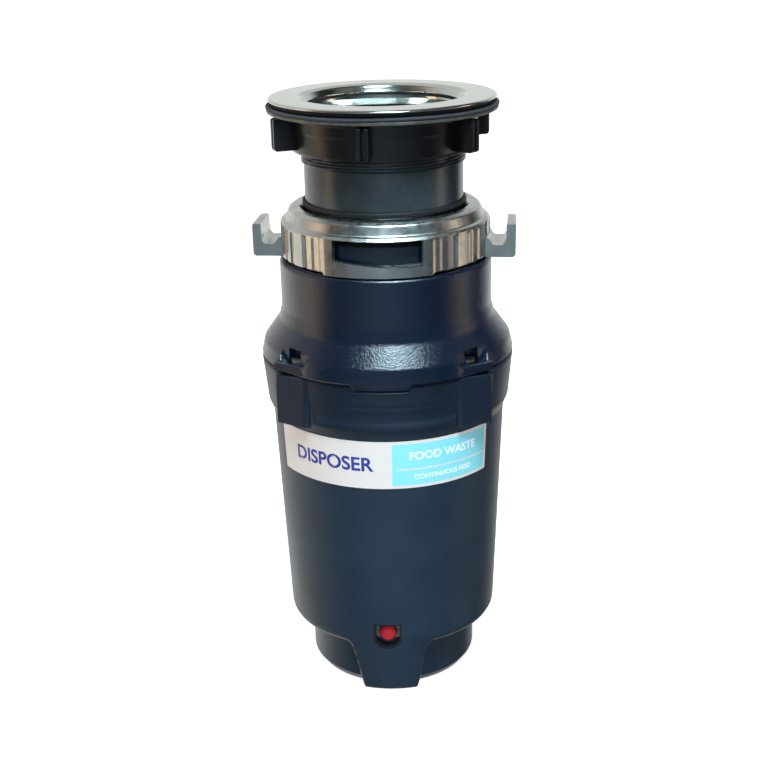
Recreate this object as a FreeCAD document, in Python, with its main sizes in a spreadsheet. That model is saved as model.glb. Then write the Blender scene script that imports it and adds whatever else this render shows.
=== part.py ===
import FreeCAD, Part
import Sketcher
import math
import os

# Kitchen garbage disposal: a continuous-feed waste disposer with its sink mount.
# Frame: millimetres, +Z up, origin at the centre of the base, front towards -Y.

doc = FreeCAD.newDocument("GarbageDisposal")
sheet = doc.addObject("Spreadsheet::Sheet", "Sizes")
aliases = []
nodes = []


class Size:
    """A length or angle together with the sheet expression that drives it."""

    def __init__(self, value, text):
        self.value = value
        self.text = text

    def __add__(self, other):
        other = as_size(other)
        return Size(self.value + other.value, f"({self.text} + {other.text})")

    def __radd__(self, other):
        return as_size(other) + self

    def __sub__(self, other):
        other = as_size(other)
        return Size(self.value - other.value, f"({self.text} - {other.text})")

    def __rsub__(self, other):
        return as_size(other) - self

    def __mul__(self, factor):
        return Size(self.value * factor, f"({self.text} * {factor})")

    def __truediv__(self, factor):
        return Size(self.value / factor, f"({self.text} / {factor})")

    def __neg__(self):
        return Size(-self.value, f"(0 - {self.text})")


def as_size(number):
    """Turn a plain number into a Size, and leave a Size as it is."""
    return number if isinstance(number, Size) else Size(number, f"({number})")


def size(alias, value, note):
    """Write one driving dimension in the sheet's next row and return it."""
    aliases.append(alias)
    row = len(aliases)
    sheet.set(f"A{row}", note)
    sheet.set(f"B{row}", str(value))
    sheet.setAlias(f"B{row}", alias)
    sheet.recompute()
    return Size(value, f"Sizes.{alias}")


def node(item, label):
    """Name an object as a finished sub-part."""
    item.Label = label
    nodes.append(item)
    return item


def bind(item, name, length):
    item.setExpression(name, as_size(length).text)


def place(item, at=(0, 0, 0), axis=(0, 0, 1), angle=0):
    """Put an object at a point, turned by an angle about an axis through it."""
    turn = FreeCAD.Rotation(FreeCAD.Vector(*axis), as_size(angle).value)
    spot = FreeCAD.Vector(*[as_size(length).value for length in at])
    item.Placement = FreeCAD.Placement(spot, turn)
    for letter, length in zip("xyz", at):
        bind(item, f"Placement.Base.{letter}", length)
    return item


def drawn_body(label, role, outline):
    """Make a body with a closed straight-sided sketch whose corners follow the sheet."""
    body = doc.addObject("PartDesign::Body", label)
    plane = next(face for face in body.Origin.OriginFeatures if face.Role == role)
    sketch = body.newObject("Sketcher::SketchObject", label + "_outline")
    sketch.AttachmentSupport = (plane, [""])
    sketch.MapMode = "FlatFace"
    corners = [(as_size(across), as_size(up)) for across, up in outline]
    points = [FreeCAD.Vector(across.value, up.value, 0) for across, up in corners]
    for start, stop in zip(points, points[1:] + points[:1]):
        sketch.addGeometry(Part.LineSegment(start, stop))
    for index, corner in enumerate(corners):
        following = (index + 1) % len(corners)
        sketch.addConstraint(Sketcher.Constraint("Coincident", index, 2, following, 1))
        for kind, length in zip(("DistanceX", "DistanceY"), corner):
            held = Sketcher.Constraint(kind, -1, 1, index, 1, length.value)
            number = sketch.addConstraint(held)
            sketch.setExpression(f"Constraints[{number}]", length.text)
    return body, sketch


def turned(label, outline, sweep=360, centre=0):
    """Revolve an outline of (radius, height) corners about the upright axis."""
    body, sketch = drawn_body(label, "XZ_Plane", outline)
    turn = body.newObject("PartDesign::Revolution", label + "_turn")
    turn.Profile = sketch
    turn.ReferenceAxis = (sketch, ["V_Axis"])
    turn.Midplane = True
    bind(turn, "Angle", sweep)
    return place(body, angle=centre)


def ring(label, inner, outer, bottom, top, sweep=360, centre=0):
    """Turn a ring of rectangular section, or one sector of it about an azimuth."""
    outline = [(inner, bottom), (outer, bottom), (outer, top), (inner, top)]
    return turned(label, outline, sweep, centre)


def slab(label, outline, bottom, height, angle=0):
    """Pad a flat outline of (x, y) corners upwards from a height."""
    body, sketch = drawn_body(label, "XY_Plane", outline)
    pad = body.newObject("PartDesign::Pad", label + "_pad")
    pad.Profile = sketch
    bind(pad, "Length", height)
    return place(body, (0, 0, bottom), angle=angle)


def block(label, length, width, height, low, angle=0):
    """Make a box from its low corner, turned about its own low corner."""
    item = doc.addObject("Part::Box", label)
    for name, value in zip(("Length", "Width", "Height"), (length, width, height)):
        bind(item, name, value)
    return place(item, low, angle=angle)


def rod(label, radius, length, at=(0, 0, 0), along="z"):
    """Make a cylinder that runs from a point along +X, +Y or +Z."""
    item = doc.addObject("Part::Cylinder", label)
    bind(item, "Radius", radius)
    bind(item, "Height", length)
    axis, angle = {"x": ((0, 1, 0), 90), "y": ((1, 0, 0), -90), "z": ((0, 0, 1), 0)}[along]
    return place(item, at, axis, angle)


def joined(label, pieces):
    item = doc.addObject("Part::MultiFuse", label)
    item.Shapes = pieces
    return item


def group(label, pieces):
    """Keep several separate solids together as one sub-part."""
    item = doc.addObject("Part::Compound", label)
    item.Links = pieces
    return item


def cut(label, base, tools):
    item = doc.addObject("Part::Cut", label)
    item.Base = base
    item.Tool = tools[0] if len(tools) == 1 else joined(label + "_tools", tools)
    return item


def shared(label, pieces):
    item = doc.addObject("Part::MultiCommon", label)
    item.Shapes = pieces
    return item


def spoke(label, inner, outer, width, bottom, height, azimuth):
    """Pad a straight bar that runs outwards from the axis at an azimuth."""
    outline = [
        (inner, -width / 2),
        (outer, -width / 2),
        (outer, width / 2),
        (inner, width / 2),
    ]
    return slab(label, outline, bottom, height, azimuth)


def polar(radius, azimuth):
    """Return the x and y of a point at a radius and an azimuth in degrees."""
    turn = math.radians(azimuth)
    return as_size(radius) * math.cos(turn), as_size(radius) * math.sin(turn)


def upright_rods(label, radius, circle, azimuths, bottom, length):
    """Make one upright cylinder at each azimuth on a circle."""
    made = []
    for index, azimuth in enumerate(azimuths):
        across, back = polar(circle, azimuth)
        made.append(rod(f"{label}_{index}", radius, length, (across, back, bottom)))
    return made


FRONT = 270
SCREWS = (45, 135, 225, 315)
THIRDS = (30, 150, 270)
LOCK_TURN = 60
OVERCUT = 1

# ---------------------------------------------------------------- sink flange and its stack
flange_radius = size("flange_radius", 57.15, "sink flange, half of 4-1/2 in")
flange_top = size("flange_top", 312, "top of the sink flange")
flange_sheet = size("flange_sheet", 1.2, "thickness of the flange rim")
throat_radius = size("throat_radius", 37.5, "feed opening")
bevel_width = size("bevel_width", 2.7, "width of the polished bevel")
bevel_drop = size("bevel_drop", 3.4, "depth of the polished bevel")
skirt_sheet = size("skirt_sheet", 0.8, "thickness of the flange skirt")
skirt_bottom = size("skirt_bottom", 297, "lower edge of the flange skirt")

rim_underside = flange_top - flange_sheet
skirt_radius = throat_radius + skirt_sheet
node(turned("sink_flange", [
    (throat_radius, skirt_bottom),
    (skirt_radius, skirt_bottom),
    (skirt_radius, rim_underside - bevel_drop + skirt_sheet),
    (throat_radius + bevel_width + flange_sheet, rim_underside),
    (flange_radius, rim_underside),
    (flange_radius, flange_top - flange_sheet / 2),
    (flange_radius - flange_sheet / 2, flange_top),
    (throat_radius + bevel_width, flange_top),
    (throat_radius, flange_top - bevel_drop),
]), "sink_flange")

neck_radius = size("neck_radius", 40.3, "outside of the neck tube")
thread_radius = size("thread_radius", 41.6, "crest of the neck's thread")
clear_gap = size("clear_gap", 0.6, "gap between the neck and what slides on it")
sink_gasket_radius = size("sink_gasket_radius", 55.2, "rubber gasket above the sink")
sink_gasket_bottom = size("sink_gasket_bottom", 309, "underside of the upper gasket")
lower_gasket_radius = size("lower_gasket_radius", 58.2, "fibre gasket below the sink")
lower_gasket_bottom = size("lower_gasket_bottom", 306.8, "underside of the fibre gasket")
backup_radius = size("backup_radius", 57.8, "backup ring")
backup_bottom = size("backup_bottom", 305, "underside of the backup ring")

stack_bore = thread_radius + clear_gap
node(ring("sink_gasket", stack_bore, sink_gasket_radius, sink_gasket_bottom, rim_underside),
     "sink_gasket")
node(ring("lower_gasket", stack_bore, lower_gasket_radius, lower_gasket_bottom,
          sink_gasket_bottom), "lower_gasket")
node(ring("backup_ring", stack_bore, backup_radius, backup_bottom, lower_gasket_bottom),
     "backup_ring")

nut_radius = size("nut_radius", 47.5, "barrel of the mount nut")
nut_bottom = size("nut_bottom", 286, "underside of the mount nut")
lug_reach = size("lug_reach", 57.5, "tip of each lug of the mount nut")
lug_width = size("lug_width", 4.6, "thickness of each lug")
lug_bottom = size("lug_bottom", 288, "underside of each lug")
lug_top = size("lug_top", 304, "top of each lug")
lug_count = 6
nut_barrel = ring("mount_nut_barrel", thread_radius + clear_gap / 2, nut_radius, nut_bottom,
                  backup_bottom)
nut_parts = [nut_barrel]
for index in range(lug_count):
    nut_parts.append(spoke(f"mount_nut_lug_{index}", nut_radius - lug_width / 2, lug_reach,
                           lug_width, lug_bottom, lug_top - lug_bottom,
                           FRONT + index * 360 / lug_count))
node(joined("mount_nut", nut_parts), "mount_nut")

# ---------------------------------------------------------------- neck tube and splash guard
neck_bottom = size("neck_bottom", 246.5, "lower edge of the neck tube")
neck_bore = size("neck_bore", 36.5, "inside of the neck tube")
neck_top = size("neck_top", 308.2, "upper edge of the neck tube")
thread_bottom = size("thread_bottom", 279.6, "first turn of the neck's thread")
ledge_height = size("ledge_height", 283, "ledge that the splash guard sits on")
skirt_fit = size("skirt_fit", 0.2, "gap round the flange skirt")
tab_reach = size("tab_reach", 45.5, "tip of each bayonet tab")
tab_height = size("tab_height", 4, "height of each bayonet tab")
tab_sweep = size("tab_sweep", 40, "width of each bayonet tab, degrees")
neck_tube = turned("flange_neck_tube", [
    (neck_bore, neck_bottom),
    (neck_radius, neck_bottom),
    (neck_radius, thread_bottom),
    (thread_radius, thread_bottom),
    (thread_radius, neck_top),
    (skirt_radius + skirt_fit, neck_top),
    (skirt_radius + skirt_fit, ledge_height),
    (neck_bore, ledge_height),
])
tabs = [ring(f"flange_neck_tab_{index}", neck_radius - tab_height / 2, tab_reach, neck_bottom,
             neck_bottom + tab_height, tab_sweep, azimuth)
        for index, azimuth in enumerate(THIRDS)]
node(joined("flange_neck", [neck_tube] + tabs), "flange_neck")

seal_bottom = size("seal_bottom", 258, "lower edge of the neck's lip seal")
seal_height = size("seal_height", 2.7, "height of the lip seal")
seal_reach = size("seal_reach", 41.8, "outside of the lip seal")
node(ring("neck_seal", neck_radius, seal_reach, seal_bottom, seal_bottom + seal_height),
     "neck_seal")

guard_radius = size("guard_radius", 37, "collar of the splash guard")
guard_wall = size("guard_wall", 2.4, "thickness of the rubber")
guard_hole = size("guard_hole", 9, "middle hole of the splash guard")
guard_sag = size("guard_sag", 1.8, "fall of the diaphragm towards its middle")
slit_width = size("slit_width", 0.8, "width of each slit")
slit_reach = size("slit_reach", 31, "outer end of each slit")
slit_count = 10
guard_floor = ledge_height + guard_sag
guard_blank = turned("splash_guard_blank", [
    (guard_hole, ledge_height),
    (guard_radius - guard_wall, guard_floor),
    (guard_radius - guard_wall, ledge_height),
    (guard_radius, ledge_height),
    (guard_radius, skirt_bottom),
    (guard_radius - guard_wall, skirt_bottom),
    (guard_radius - guard_wall, guard_floor + guard_wall),
    (guard_hole, ledge_height + guard_wall),
])
slits = []
for index in range(slit_count):
    slits.append(spoke(f"splash_guard_slit_{index}", guard_hole - OVERCUT, slit_reach,
                       slit_width, ledge_height - OVERCUT,
                       guard_wall + guard_sag + 2 * OVERCUT, index * 360 / slit_count))
node(cut("splash_guard", guard_blank, slits), "splash_guard")

# ---------------------------------------------------------------- mount ring
ring_bottom = size("ring_bottom", 231.2, "lower edge of the mount ring")
ring_top = size("ring_top", 257.5, "top of the mount ring")
ring_radius = size("ring_radius", 54, "wall of the mount ring")
ring_cavity = size("ring_cavity", 51.3, "inside of the mount ring's wall")
lip_radius = size("lip_radius", 47, "top lip of the mount ring")
lip_bore = size("lip_bore", 41.2, "inside of the top lip")
lip_bottom = size("lip_bottom", 252, "underside of the top lip")
band_radius = size("band_radius", 50, "foot of the sloping band")
band_bottom = size("band_bottom", 251, "height of the band's foot")
shoulder_radius = size("shoulder_radius", 52.6, "shoulder of the mount ring")
shoulder_height = size("shoulder_height", 248, "height of the shoulder")
cavity_top = size("cavity_top", 246.8, "top of the ring's lower cavity")
bayonet_radius = size("bayonet_radius", 46.2, "cavity that the bayonet tabs turn in")
foot_bore = size("foot_bore", 49.6, "inside of the ring's lower lip")
foot_height = size("foot_height", 3.8, "thickness of the ring's lower lip")
ring_blank = turned("mount_ring_blank", [
    (foot_bore, ring_bottom),
    (ring_radius, ring_bottom),
    (ring_radius, cavity_top),
    (shoulder_radius, shoulder_height),
    (band_radius, band_bottom),
    (lip_radius, ring_top),
    (lip_bore, ring_top),
    (lip_bore, lip_bottom),
    (bayonet_radius, lip_bottom),
    (bayonet_radius, cavity_top),
    (ring_cavity, cavity_top),
    (ring_cavity, ring_bottom + foot_height),
    (foot_bore, ring_bottom + foot_height),
])
ear_reach = size("ear_reach", 67.2, "outside of each ear")
ear_sheet = size("ear_sheet", 4.6, "thickness of each ear's upright tab")
ear_width = size("ear_width", 24, "width of each ear")
ear_bottom = size("ear_bottom", 231.6, "underside of each ear")
ear_top = size("ear_top", 249, "top of each ear")
arm_height = size("arm_height", 6.4, "height of the arm that carries the tab")
ear_turn = size("ear_turn", -3, "azimuth of the right-hand ear, degrees")
ears = []
for side in (0, 180):
    azimuth = ear_turn + side
    ears.append(spoke(f"mount_ring_arm_{side}", ring_cavity + OVERCUT, ear_reach, ear_width,
                      ear_bottom, arm_height, azimuth))
    ears.append(spoke(f"mount_ring_tab_{side}", ear_reach - ear_sheet, ear_reach, ear_width,
                      ear_bottom, ear_top - ear_bottom, azimuth))
ring_hollow = rod("mount_ring_hollow", ring_cavity, cavity_top - ring_bottom - foot_height,
                  (0, 0, ring_bottom + foot_height))
window_sweep = size("window_sweep", 46, "width of each window, degrees")
window_bottom = size("window_bottom", 239.2, "lower edge of each window")
window_top = size("window_top", 247.4, "upper edge of each window")
notch_sweep = size("notch_sweep", 46, "width of each bayonet notch, degrees")
windows = [ring(f"mount_ring_window_{index}", ring_cavity - OVERCUT, ear_reach - ear_sheet,
                window_bottom, window_top, window_sweep, azimuth)
           for index, azimuth in enumerate(THIRDS)]
notches = [ring(f"mount_ring_notch_{index}", lip_bore - OVERCUT, bayonet_radius,
                lip_bottom - OVERCUT, ring_top + OVERCUT, notch_sweep, azimuth + LOCK_TURN)
           for index, azimuth in enumerate(THIRDS)]
ring_solid = joined("mount_ring_solid", [ring_blank] + ears)
node(cut("mount_ring", ring_solid, [ring_hollow] + windows + notches), "mount_ring")

# ---------------------------------------------------------------- hopper
seam_height = size("seam_height", 180, "joint between the hopper and the lower shell")
body_radius = size("body_radius", 66, "widest part of the body")
neck_outer = size("neck_outer", 49.2, "hopper neck inside the mount ring")
hopper_top = size("hopper_top", 246, "top of the hopper")
hopper_radius = size("hopper_radius", 54.7, "straight wall of the hopper")
flare_start = size("flare_start", 203, "top of the hopper's flare")
chamber_radius = size("chamber_radius", 50.7, "grinding chamber")
chamber_top = size("chamber_top", 216, "top of the chamber's straight wall")
hopper_throat = size("hopper_throat", 38, "throat of the hopper")
throat_start = size("throat_start", 230, "foot of the hopper's throat")
seat_height = size("seat_height", 240, "seat of the rubber cushion")
cushion_radius = size("cushion_radius", 47.8, "rubber cushion")
recess_radius = size("recess_radius", 63.2, "recess for the end bell's flange")
recess_top = size("recess_top", 183.5, "top of that recess")
shoulder_gap = size("shoulder_gap", 0.2, "gap between the mount ring and the hopper")
flare_rise = flare_start - seam_height
flare_width = body_radius - hopper_radius
shoulder_top = ring_bottom - shoulder_gap
hopper_blank = turned("hopper_blank", [
    (recess_radius, seam_height),
    (body_radius, seam_height),
    (body_radius - flare_width * 0.1, seam_height + flare_rise * 0.2),
    (body_radius - flare_width * 0.23, seam_height + flare_rise * 0.38),
    (body_radius - flare_width * 0.52, seam_height + flare_rise * 0.58),
    (hopper_radius + flare_width * 0.13, seam_height + flare_rise * 0.86),
    (hopper_radius, flare_start),
    (hopper_radius, shoulder_top - 1),
    (hopper_radius - 1, shoulder_top),
    (neck_outer, shoulder_top),
    (neck_outer, hopper_top),
    (cushion_radius + skirt_fit, hopper_top),
    (cushion_radius + skirt_fit, seat_height),
    (hopper_throat, seat_height),
    (hopper_throat, throat_start),
    (chamber_radius, chamber_top),
    (chamber_radius, recess_top),
    (recess_radius, recess_top),
])
inlet_radius = size("inlet_radius", 11.1, "dishwasher inlet, 7/8 in outside")
inlet_bore = size("inlet_bore", 8.5, "bore of the dishwasher inlet")
inlet_height = size("inlet_height", 212, "axis of the dishwasher inlet")
inlet_reach = size("inlet_reach", 76, "end of the dishwasher inlet")
inlet_boss_radius = size("inlet_boss_radius", 14.6, "boss at the root of the inlet")
inlet_boss_reach = size("inlet_boss_reach", 60, "face of that boss, where a hose stops")
inlet_start = chamber_radius + 2
inlet_pipe = rod("hopper_inlet", inlet_radius, inlet_reach - inlet_start,
                 (0, inlet_start, inlet_height), "y")
inlet_boss = rod("hopper_inlet_boss", inlet_boss_radius, inlet_boss_reach - inlet_start,
                 (0, inlet_start, inlet_height), "y")
inlet_hole = rod("hopper_inlet_bore", inlet_bore, inlet_reach, (0, 0, inlet_height), "y")
pocket_radius = size("pocket_radius", 4.6, "pocket over each housing screw")
screw_circle = size("screw_circle", 59.5, "radius of the housing screw circle")
pocket_bottom = size("pocket_bottom", 184.8, "seat of each housing screw's head")
pockets = upright_rods("hopper_pocket", pocket_radius, screw_circle, SCREWS, pocket_bottom,
                       flare_start - pocket_bottom)
shank_radius = size("shank_radius", 1.9, "shank of a housing screw")
shank_holes = upright_rods("hopper_screw_hole", shank_radius + skirt_fit, screw_circle, SCREWS,
                           recess_top - OVERCUT, pocket_bottom - recess_top + 2 * OVERCUT)
groove_top = size("groove_top", 237.4, "top of the snap ring's groove")
groove_bottom = size("groove_bottom", 235.2, "foot of the snap ring's groove")
groove_radius = size("groove_radius", 47.6, "floor of the snap ring's groove")
groove = ring("hopper_groove", groove_radius, neck_outer + OVERCUT, groove_bottom, groove_top)
throat_clear = rod("hopper_keep", hopper_throat, hopper_top - throat_start,
                   (0, 0, throat_start))
hopper_solid = joined("hopper_solid", [hopper_blank, inlet_boss, inlet_pipe])
node(cut("hopper", hopper_solid, [inlet_hole, groove, throat_clear] + pockets + shank_holes),
     "hopper")

snap_reach = size("snap_reach", 50.9, "outside of the snap ring")
snap_gap = size("snap_gap", 14, "opening of the snap ring, degrees")
node(ring("snap_ring", groove_radius, snap_reach, groove_bottom, groove_top, 360 - snap_gap,
          FRONT - 90), "snap_ring")
node(ring("mount_cushion", hopper_throat, cushion_radius, seat_height, neck_bottom),
     "mount_cushion")

plug_height = size("plug_height", 3, "thickness of the inlet's knock-out plug")
plug_depth = size("plug_depth", 18, "depth of the knock-out plug in the inlet")
node(rod("dishwasher_inlet_plug", inlet_bore, plug_height,
         (0, inlet_reach - plug_depth, inlet_height), "y"), "dishwasher_inlet_plug")

# ---------------------------------------------------------------- grinding parts
grind_radius = size("grind_radius", 50.2, "outside of the grind ring")
grind_bore = size("grind_bore", 46.5, "inside of the grind ring")
grind_top = size("grind_top", 203, "top of the grind ring")
tooth_width = size("tooth_width", 4, "width of each notch in the grind ring")
tooth_depth = size("tooth_depth", 1.8, "depth of each notch")
tooth_top = size("tooth_top", 196, "top of each notch")
tooth_count = 24
grind_blank = ring("grind_ring_blank", grind_bore, grind_radius, recess_top, grind_top)
teeth = []
for index in range(tooth_count):
    teeth.append(spoke(f"grind_ring_notch_{index}", grind_bore - OVERCUT,
                       grind_bore + tooth_depth, tooth_width, recess_top - OVERCUT,
                       tooth_top - recess_top + OVERCUT, index * 360 / tooth_count))
node(cut("grind_ring", grind_blank, teeth), "grind_ring")

shaft_radius = size("shaft_radius", 6, "motor shaft")
shaft_bottom = size("shaft_bottom", 38.5, "lower end of the shaft")
shaft_top = size("shaft_top", 195.4, "upper end of the shaft's stud")
plate_radius = size("plate_radius", 45.6, "turntable")
plate_bottom = size("plate_bottom", 187, "underside of the turntable")
plate_height = size("plate_height", 2.4, "thickness of the turntable")
pivot_circle = size("pivot_circle", 27, "radius of the impeller pivots")
rivet_radius = size("rivet_radius", 2.5, "impeller rivet")
drain_radius = size("drain_radius", 2.2, "drain hole of the turntable")
drain_circle = size("drain_circle", 37, "circle of the drain holes")
plate_top = plate_bottom + plate_height
plate_blank = ring("turntable_blank", shaft_radius, plate_radius, plate_bottom, plate_top)
drain_azimuths = [30 + 40 * step for step in range(9)]
drains = upright_rods("turntable_drain", drain_radius, drain_circle, drain_azimuths,
                      plate_bottom - OVERCUT, plate_height + 2 * OVERCUT)
rivet_holes = upright_rods("turntable_rivet_hole", rivet_radius, pivot_circle, (0, 180),
                           plate_bottom - OVERCUT, plate_height + 2 * OVERCUT)
node(cut("turntable", plate_blank, drains + rivet_holes), "turntable")

lug_gap = size("lug_gap", 0.2, "gap under each impeller")
impeller_width = size("impeller_width", 11, "width of each impeller")
impeller_nose = size("impeller_nose", 15, "impeller's reach past its pivot")
impeller_tail = size("impeller_tail", 12, "impeller's length behind its pivot")
impeller_sheet = size("impeller_sheet", 3, "thickness of each impeller")
impeller_lip = size("impeller_lip", 9, "height of each impeller's striking lip")
lip_depth = size("lip_depth", 4, "thickness of the striking lip")
swivel_fit = size("swivel_fit", 0.08, "gap round each impeller's rivet")
impeller_bottom = plate_top + lug_gap
for side, label in ((1, "impeller_right"), (-1, "impeller_left")):
    pivot = pivot_circle * side
    low = (pivot - impeller_width / 2, -impeller_tail, impeller_bottom)
    bar = block(label + "_bar", impeller_width, impeller_nose + impeller_tail, impeller_sheet,
                low)
    lip_low = (pivot - impeller_width / 2, impeller_nose - lip_depth, impeller_bottom)
    lip = block(label + "_lip", impeller_width, lip_depth, impeller_lip, lip_low)
    eye = rod(label + "_eye", rivet_radius + swivel_fit, impeller_sheet + 2 * OVERCUT,
              (pivot, 0, impeller_bottom - OVERCUT))
    solid = joined(label + "_solid", [bar, lip])
    node(cut(label, solid, [eye]), label)

rivet_head = size("rivet_head", 4.4, "head of each rivet")
head_height = size("head_height", 1.6, "height of each rivet's head")
tail_height = size("tail_height", 1.2, "height of each rivet's clenched tail")
rivet_top = impeller_bottom + impeller_sheet + lug_gap
rivets = []
for side in (1, -1):
    spot = pivot_circle * side
    parts = [
        rod(f"rivet_stem_{side}", rivet_radius, rivet_top - plate_bottom, (spot, 0, plate_bottom)),
        rod(f"rivet_head_{side}", rivet_head, head_height, (spot, 0, rivet_top)),
        rod(f"rivet_tail_{side}", rivet_head, tail_height, (spot, 0, plate_bottom - tail_height)),
    ]
    rivets.append(joined(f"rivet_{side}", parts))
node(group("impeller_rivets", rivets), "impeller_rivets")

nut_half_width = size("nut_half_width", 8, "half across the corners of the turntable nut")
nut_height = size("nut_height", 5, "height of the turntable nut")
stud_radius = size("stud_radius", 5, "threaded stud at the shaft's upper end")
hexagon = [polar(nut_half_width, 60 * corner) for corner in range(6)]
nut_blank = slab("turntable_nut_blank", hexagon, plate_top, nut_height)
nut_bore = rod("turntable_nut_bore", stud_radius, nut_height + 2 * OVERCUT,
               (0, 0, plate_top - OVERCUT))
node(cut("turntable_nut", nut_blank, [nut_bore]), "turntable_nut")

slinger_radius = size("slinger_radius", 22, "slinger under the turntable")
slinger_bottom = size("slinger_bottom", 181, "lower edge of the slinger")
slinger_sheet = size("slinger_sheet", 1.6, "thickness of the slinger's disc")
slinger_hub = size("slinger_hub", 10, "hub of the slinger")
node(turned("slinger", [
    (shaft_radius, slinger_bottom + slinger_sheet / 2),
    (slinger_radius, slinger_bottom),
    (slinger_radius, slinger_bottom + slinger_sheet),
    (slinger_hub, slinger_bottom + slinger_sheet * 2),
    (slinger_hub, plate_bottom),
    (shaft_radius, plate_bottom),
]), "slinger")

# ---------------------------------------------------------------- drain chamber
bell_bottom = size("bell_bottom", 138, "underside of the end bell")
bell_floor = size("bell_floor", 142, "floor of the drain chamber")
bell_bore = size("bell_bore", 47, "inside of the drain chamber")
bell_radius = size("bell_radius", 50, "outside of the drain chamber")
bell_flange = size("bell_flange", 62.8, "flange of the end bell")
bell_top = size("bell_top", 183, "top of the end bell")
hub_radius = size("hub_radius", 15, "bearing hub of the end bell")
hub_top = size("hub_top", 168, "top of the bearing hub")
bearing_radius = size("bearing_radius", 11, "outside of each bearing")
bearing_height = size("bearing_height", 10, "height of each bearing")
bell_blank = turned("end_bell_blank", [
    (bearing_radius, bell_bottom),
    (bell_radius, bell_bottom),
    (bell_radius, seam_height),
    (bell_flange, seam_height),
    (bell_flange, bell_top),
    (bell_bore, bell_top),
    (bell_bore, bell_floor),
    (hub_radius, bell_floor),
    (hub_radius, hub_top),
    (bearing_radius, hub_top),
])
spout_radius = size("spout_radius", 20, "outside of the discharge spout")
spout_bore = size("spout_bore", 17, "bore of the discharge spout")
spout_height = size("spout_height", 159.5, "axis of the discharge spout")
spout_reach = size("spout_reach", 76, "face of the discharge spout")
spout_start = size("spout_start", 46.6, "where the spout leaves the chamber")
pad_length = size("pad_length", 64, "length of the spout's bolting flange")
pad_height = size("pad_height", 37, "height of the bolting flange")
pad_sheet = size("pad_sheet", 5, "thickness of the bolting flange")
bolt_spacing = size("bolt_spacing", 50, "spacing of the two discharge bolts")
bolt_hole = size("bolt_hole", 2.2, "discharge bolt hole")
spout = rod("end_bell_spout", spout_radius, spout_reach - spout_start,
            (0, spout_start, spout_height), "y")
pad_plate = block("end_bell_pad", pad_length, pad_sheet, pad_height,
                  (-pad_length / 2, spout_reach - pad_sheet, spout_height - pad_height / 2))
spout_hole = rod("end_bell_spout_bore", spout_bore, spout_reach - hub_radius * 2 + OVERCUT,
                 (0, hub_radius * 2, spout_height), "y")
bolt_holes = [rod(f"end_bell_bolt_hole_{side}", bolt_hole, pad_sheet + 2 * OVERCUT,
                  (bolt_spacing / 2 * side, spout_reach - pad_sheet - OVERCUT, spout_height),
                  "y") for side in (-1, 1)]
flange_holes = upright_rods("end_bell_screw_hole", shank_radius + skirt_fit, screw_circle,
                            SCREWS, seam_height - OVERCUT,
                            bell_top - seam_height + 2 * OVERCUT)
through_radius = size("through_radius", 2, "motor through bolt")
through_circle = size("through_circle", 39, "circle of the through bolts")
bolt_end = size("bolt_end", 140, "upper end of the through bolts")
tapped_holes = upright_rods("end_bell_tapped_hole", through_radius, through_circle, (45, 225),
                            bell_bottom - OVERCUT, bolt_end - bell_bottom + OVERCUT)
bell_solid = joined("end_bell_solid", [bell_blank, spout, pad_plate])
node(cut("end_bell", bell_solid, [spout_hole] + bolt_holes + flange_holes + tapped_holes),
     "end_bell")

seal_inner = size("seal_inner", 51.7, "inside of the flat housing seal")
seal_outer = size("seal_outer", 55.2, "outside of the flat housing seal")
node(ring("housing_seal", seal_inner, seal_outer, bell_top, recess_top), "housing_seal")

running_gap = size("running_gap", 0.05, "running fit of the shaft in its bearings")
shaft_seal_foot = size("shaft_seal_foot", 156, "foot of the shaft seal")
upper_bearing_foot = size("upper_bearing_foot", 140, "foot of the upper bearing")
node(ring("upper_bearing", shaft_radius + running_gap, bearing_radius, upper_bearing_foot,
          upper_bearing_foot + bearing_height), "upper_bearing")
node(ring("shaft_seal", shaft_radius + running_gap, bearing_radius, shaft_seal_foot, hub_top),
     "shaft_seal")

# ---------------------------------------------------------------- motor
shaft_body = rod("shaft_body", shaft_radius, plate_top - shaft_bottom, (0, 0, shaft_bottom))
shaft_stud = rod("shaft_stud", stud_radius, shaft_top - plate_top, (0, 0, plate_top))
node(joined("shaft", [shaft_body, shaft_stud]), "shaft")

core_radius = size("core_radius", 32.8, "armature laminations")
core_bottom = size("core_bottom", 70, "underside of the laminations")
core_top = size("core_top", 118, "top of the laminations")
slot_count = 12
slot_width = size("slot_width", 3, "mouth of each armature slot")
slot_depth = size("slot_depth", 10, "depth of each armature slot")
core_blank = ring("armature_core_blank", shaft_radius, core_radius, core_bottom, core_top)
slots = []
for index in range(slot_count):
    slots.append(spoke(f"armature_slot_{index}", core_radius - slot_depth,
                       core_radius + OVERCUT, slot_width, core_bottom - OVERCUT,
                       core_top - core_bottom + 2 * OVERCUT, index * 360 / slot_count))
node(cut("armature_core", core_blank, slots), "armature_core")

winding_bore = size("winding_bore", 16, "inside of the winding heads")
winding_radius = size("winding_radius", 30, "outside of the winding heads")
winding_height = size("winding_height", 7.5, "height of each winding head")
heads = []
for name, low in (("lower", core_bottom - winding_height), ("upper", core_top)):
    heads.append(ring(f"winding_head_{name}", winding_bore, winding_radius, low,
                      low + winding_height))
node(group("armature_windings", heads), "armature_windings")

commutator_radius = size("commutator_radius", 13, "commutator")
commutator_bottom = size("commutator_bottom", 49.5, "underside of the commutator")
commutator_top = size("commutator_top", 61.5, "top of the commutator")
node(ring("commutator", shaft_radius, commutator_radius, commutator_bottom, commutator_top),
     "commutator")

can_bottom = size("can_bottom", 48, "lower edge of the motor can")
can_radius = size("can_radius", 46, "outside of the motor can")
can_bore = size("can_bore", 43.5, "inside of the motor can")
node(ring("field_shell", can_bore, can_radius, can_bottom, bell_bottom), "field_shell")

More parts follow.
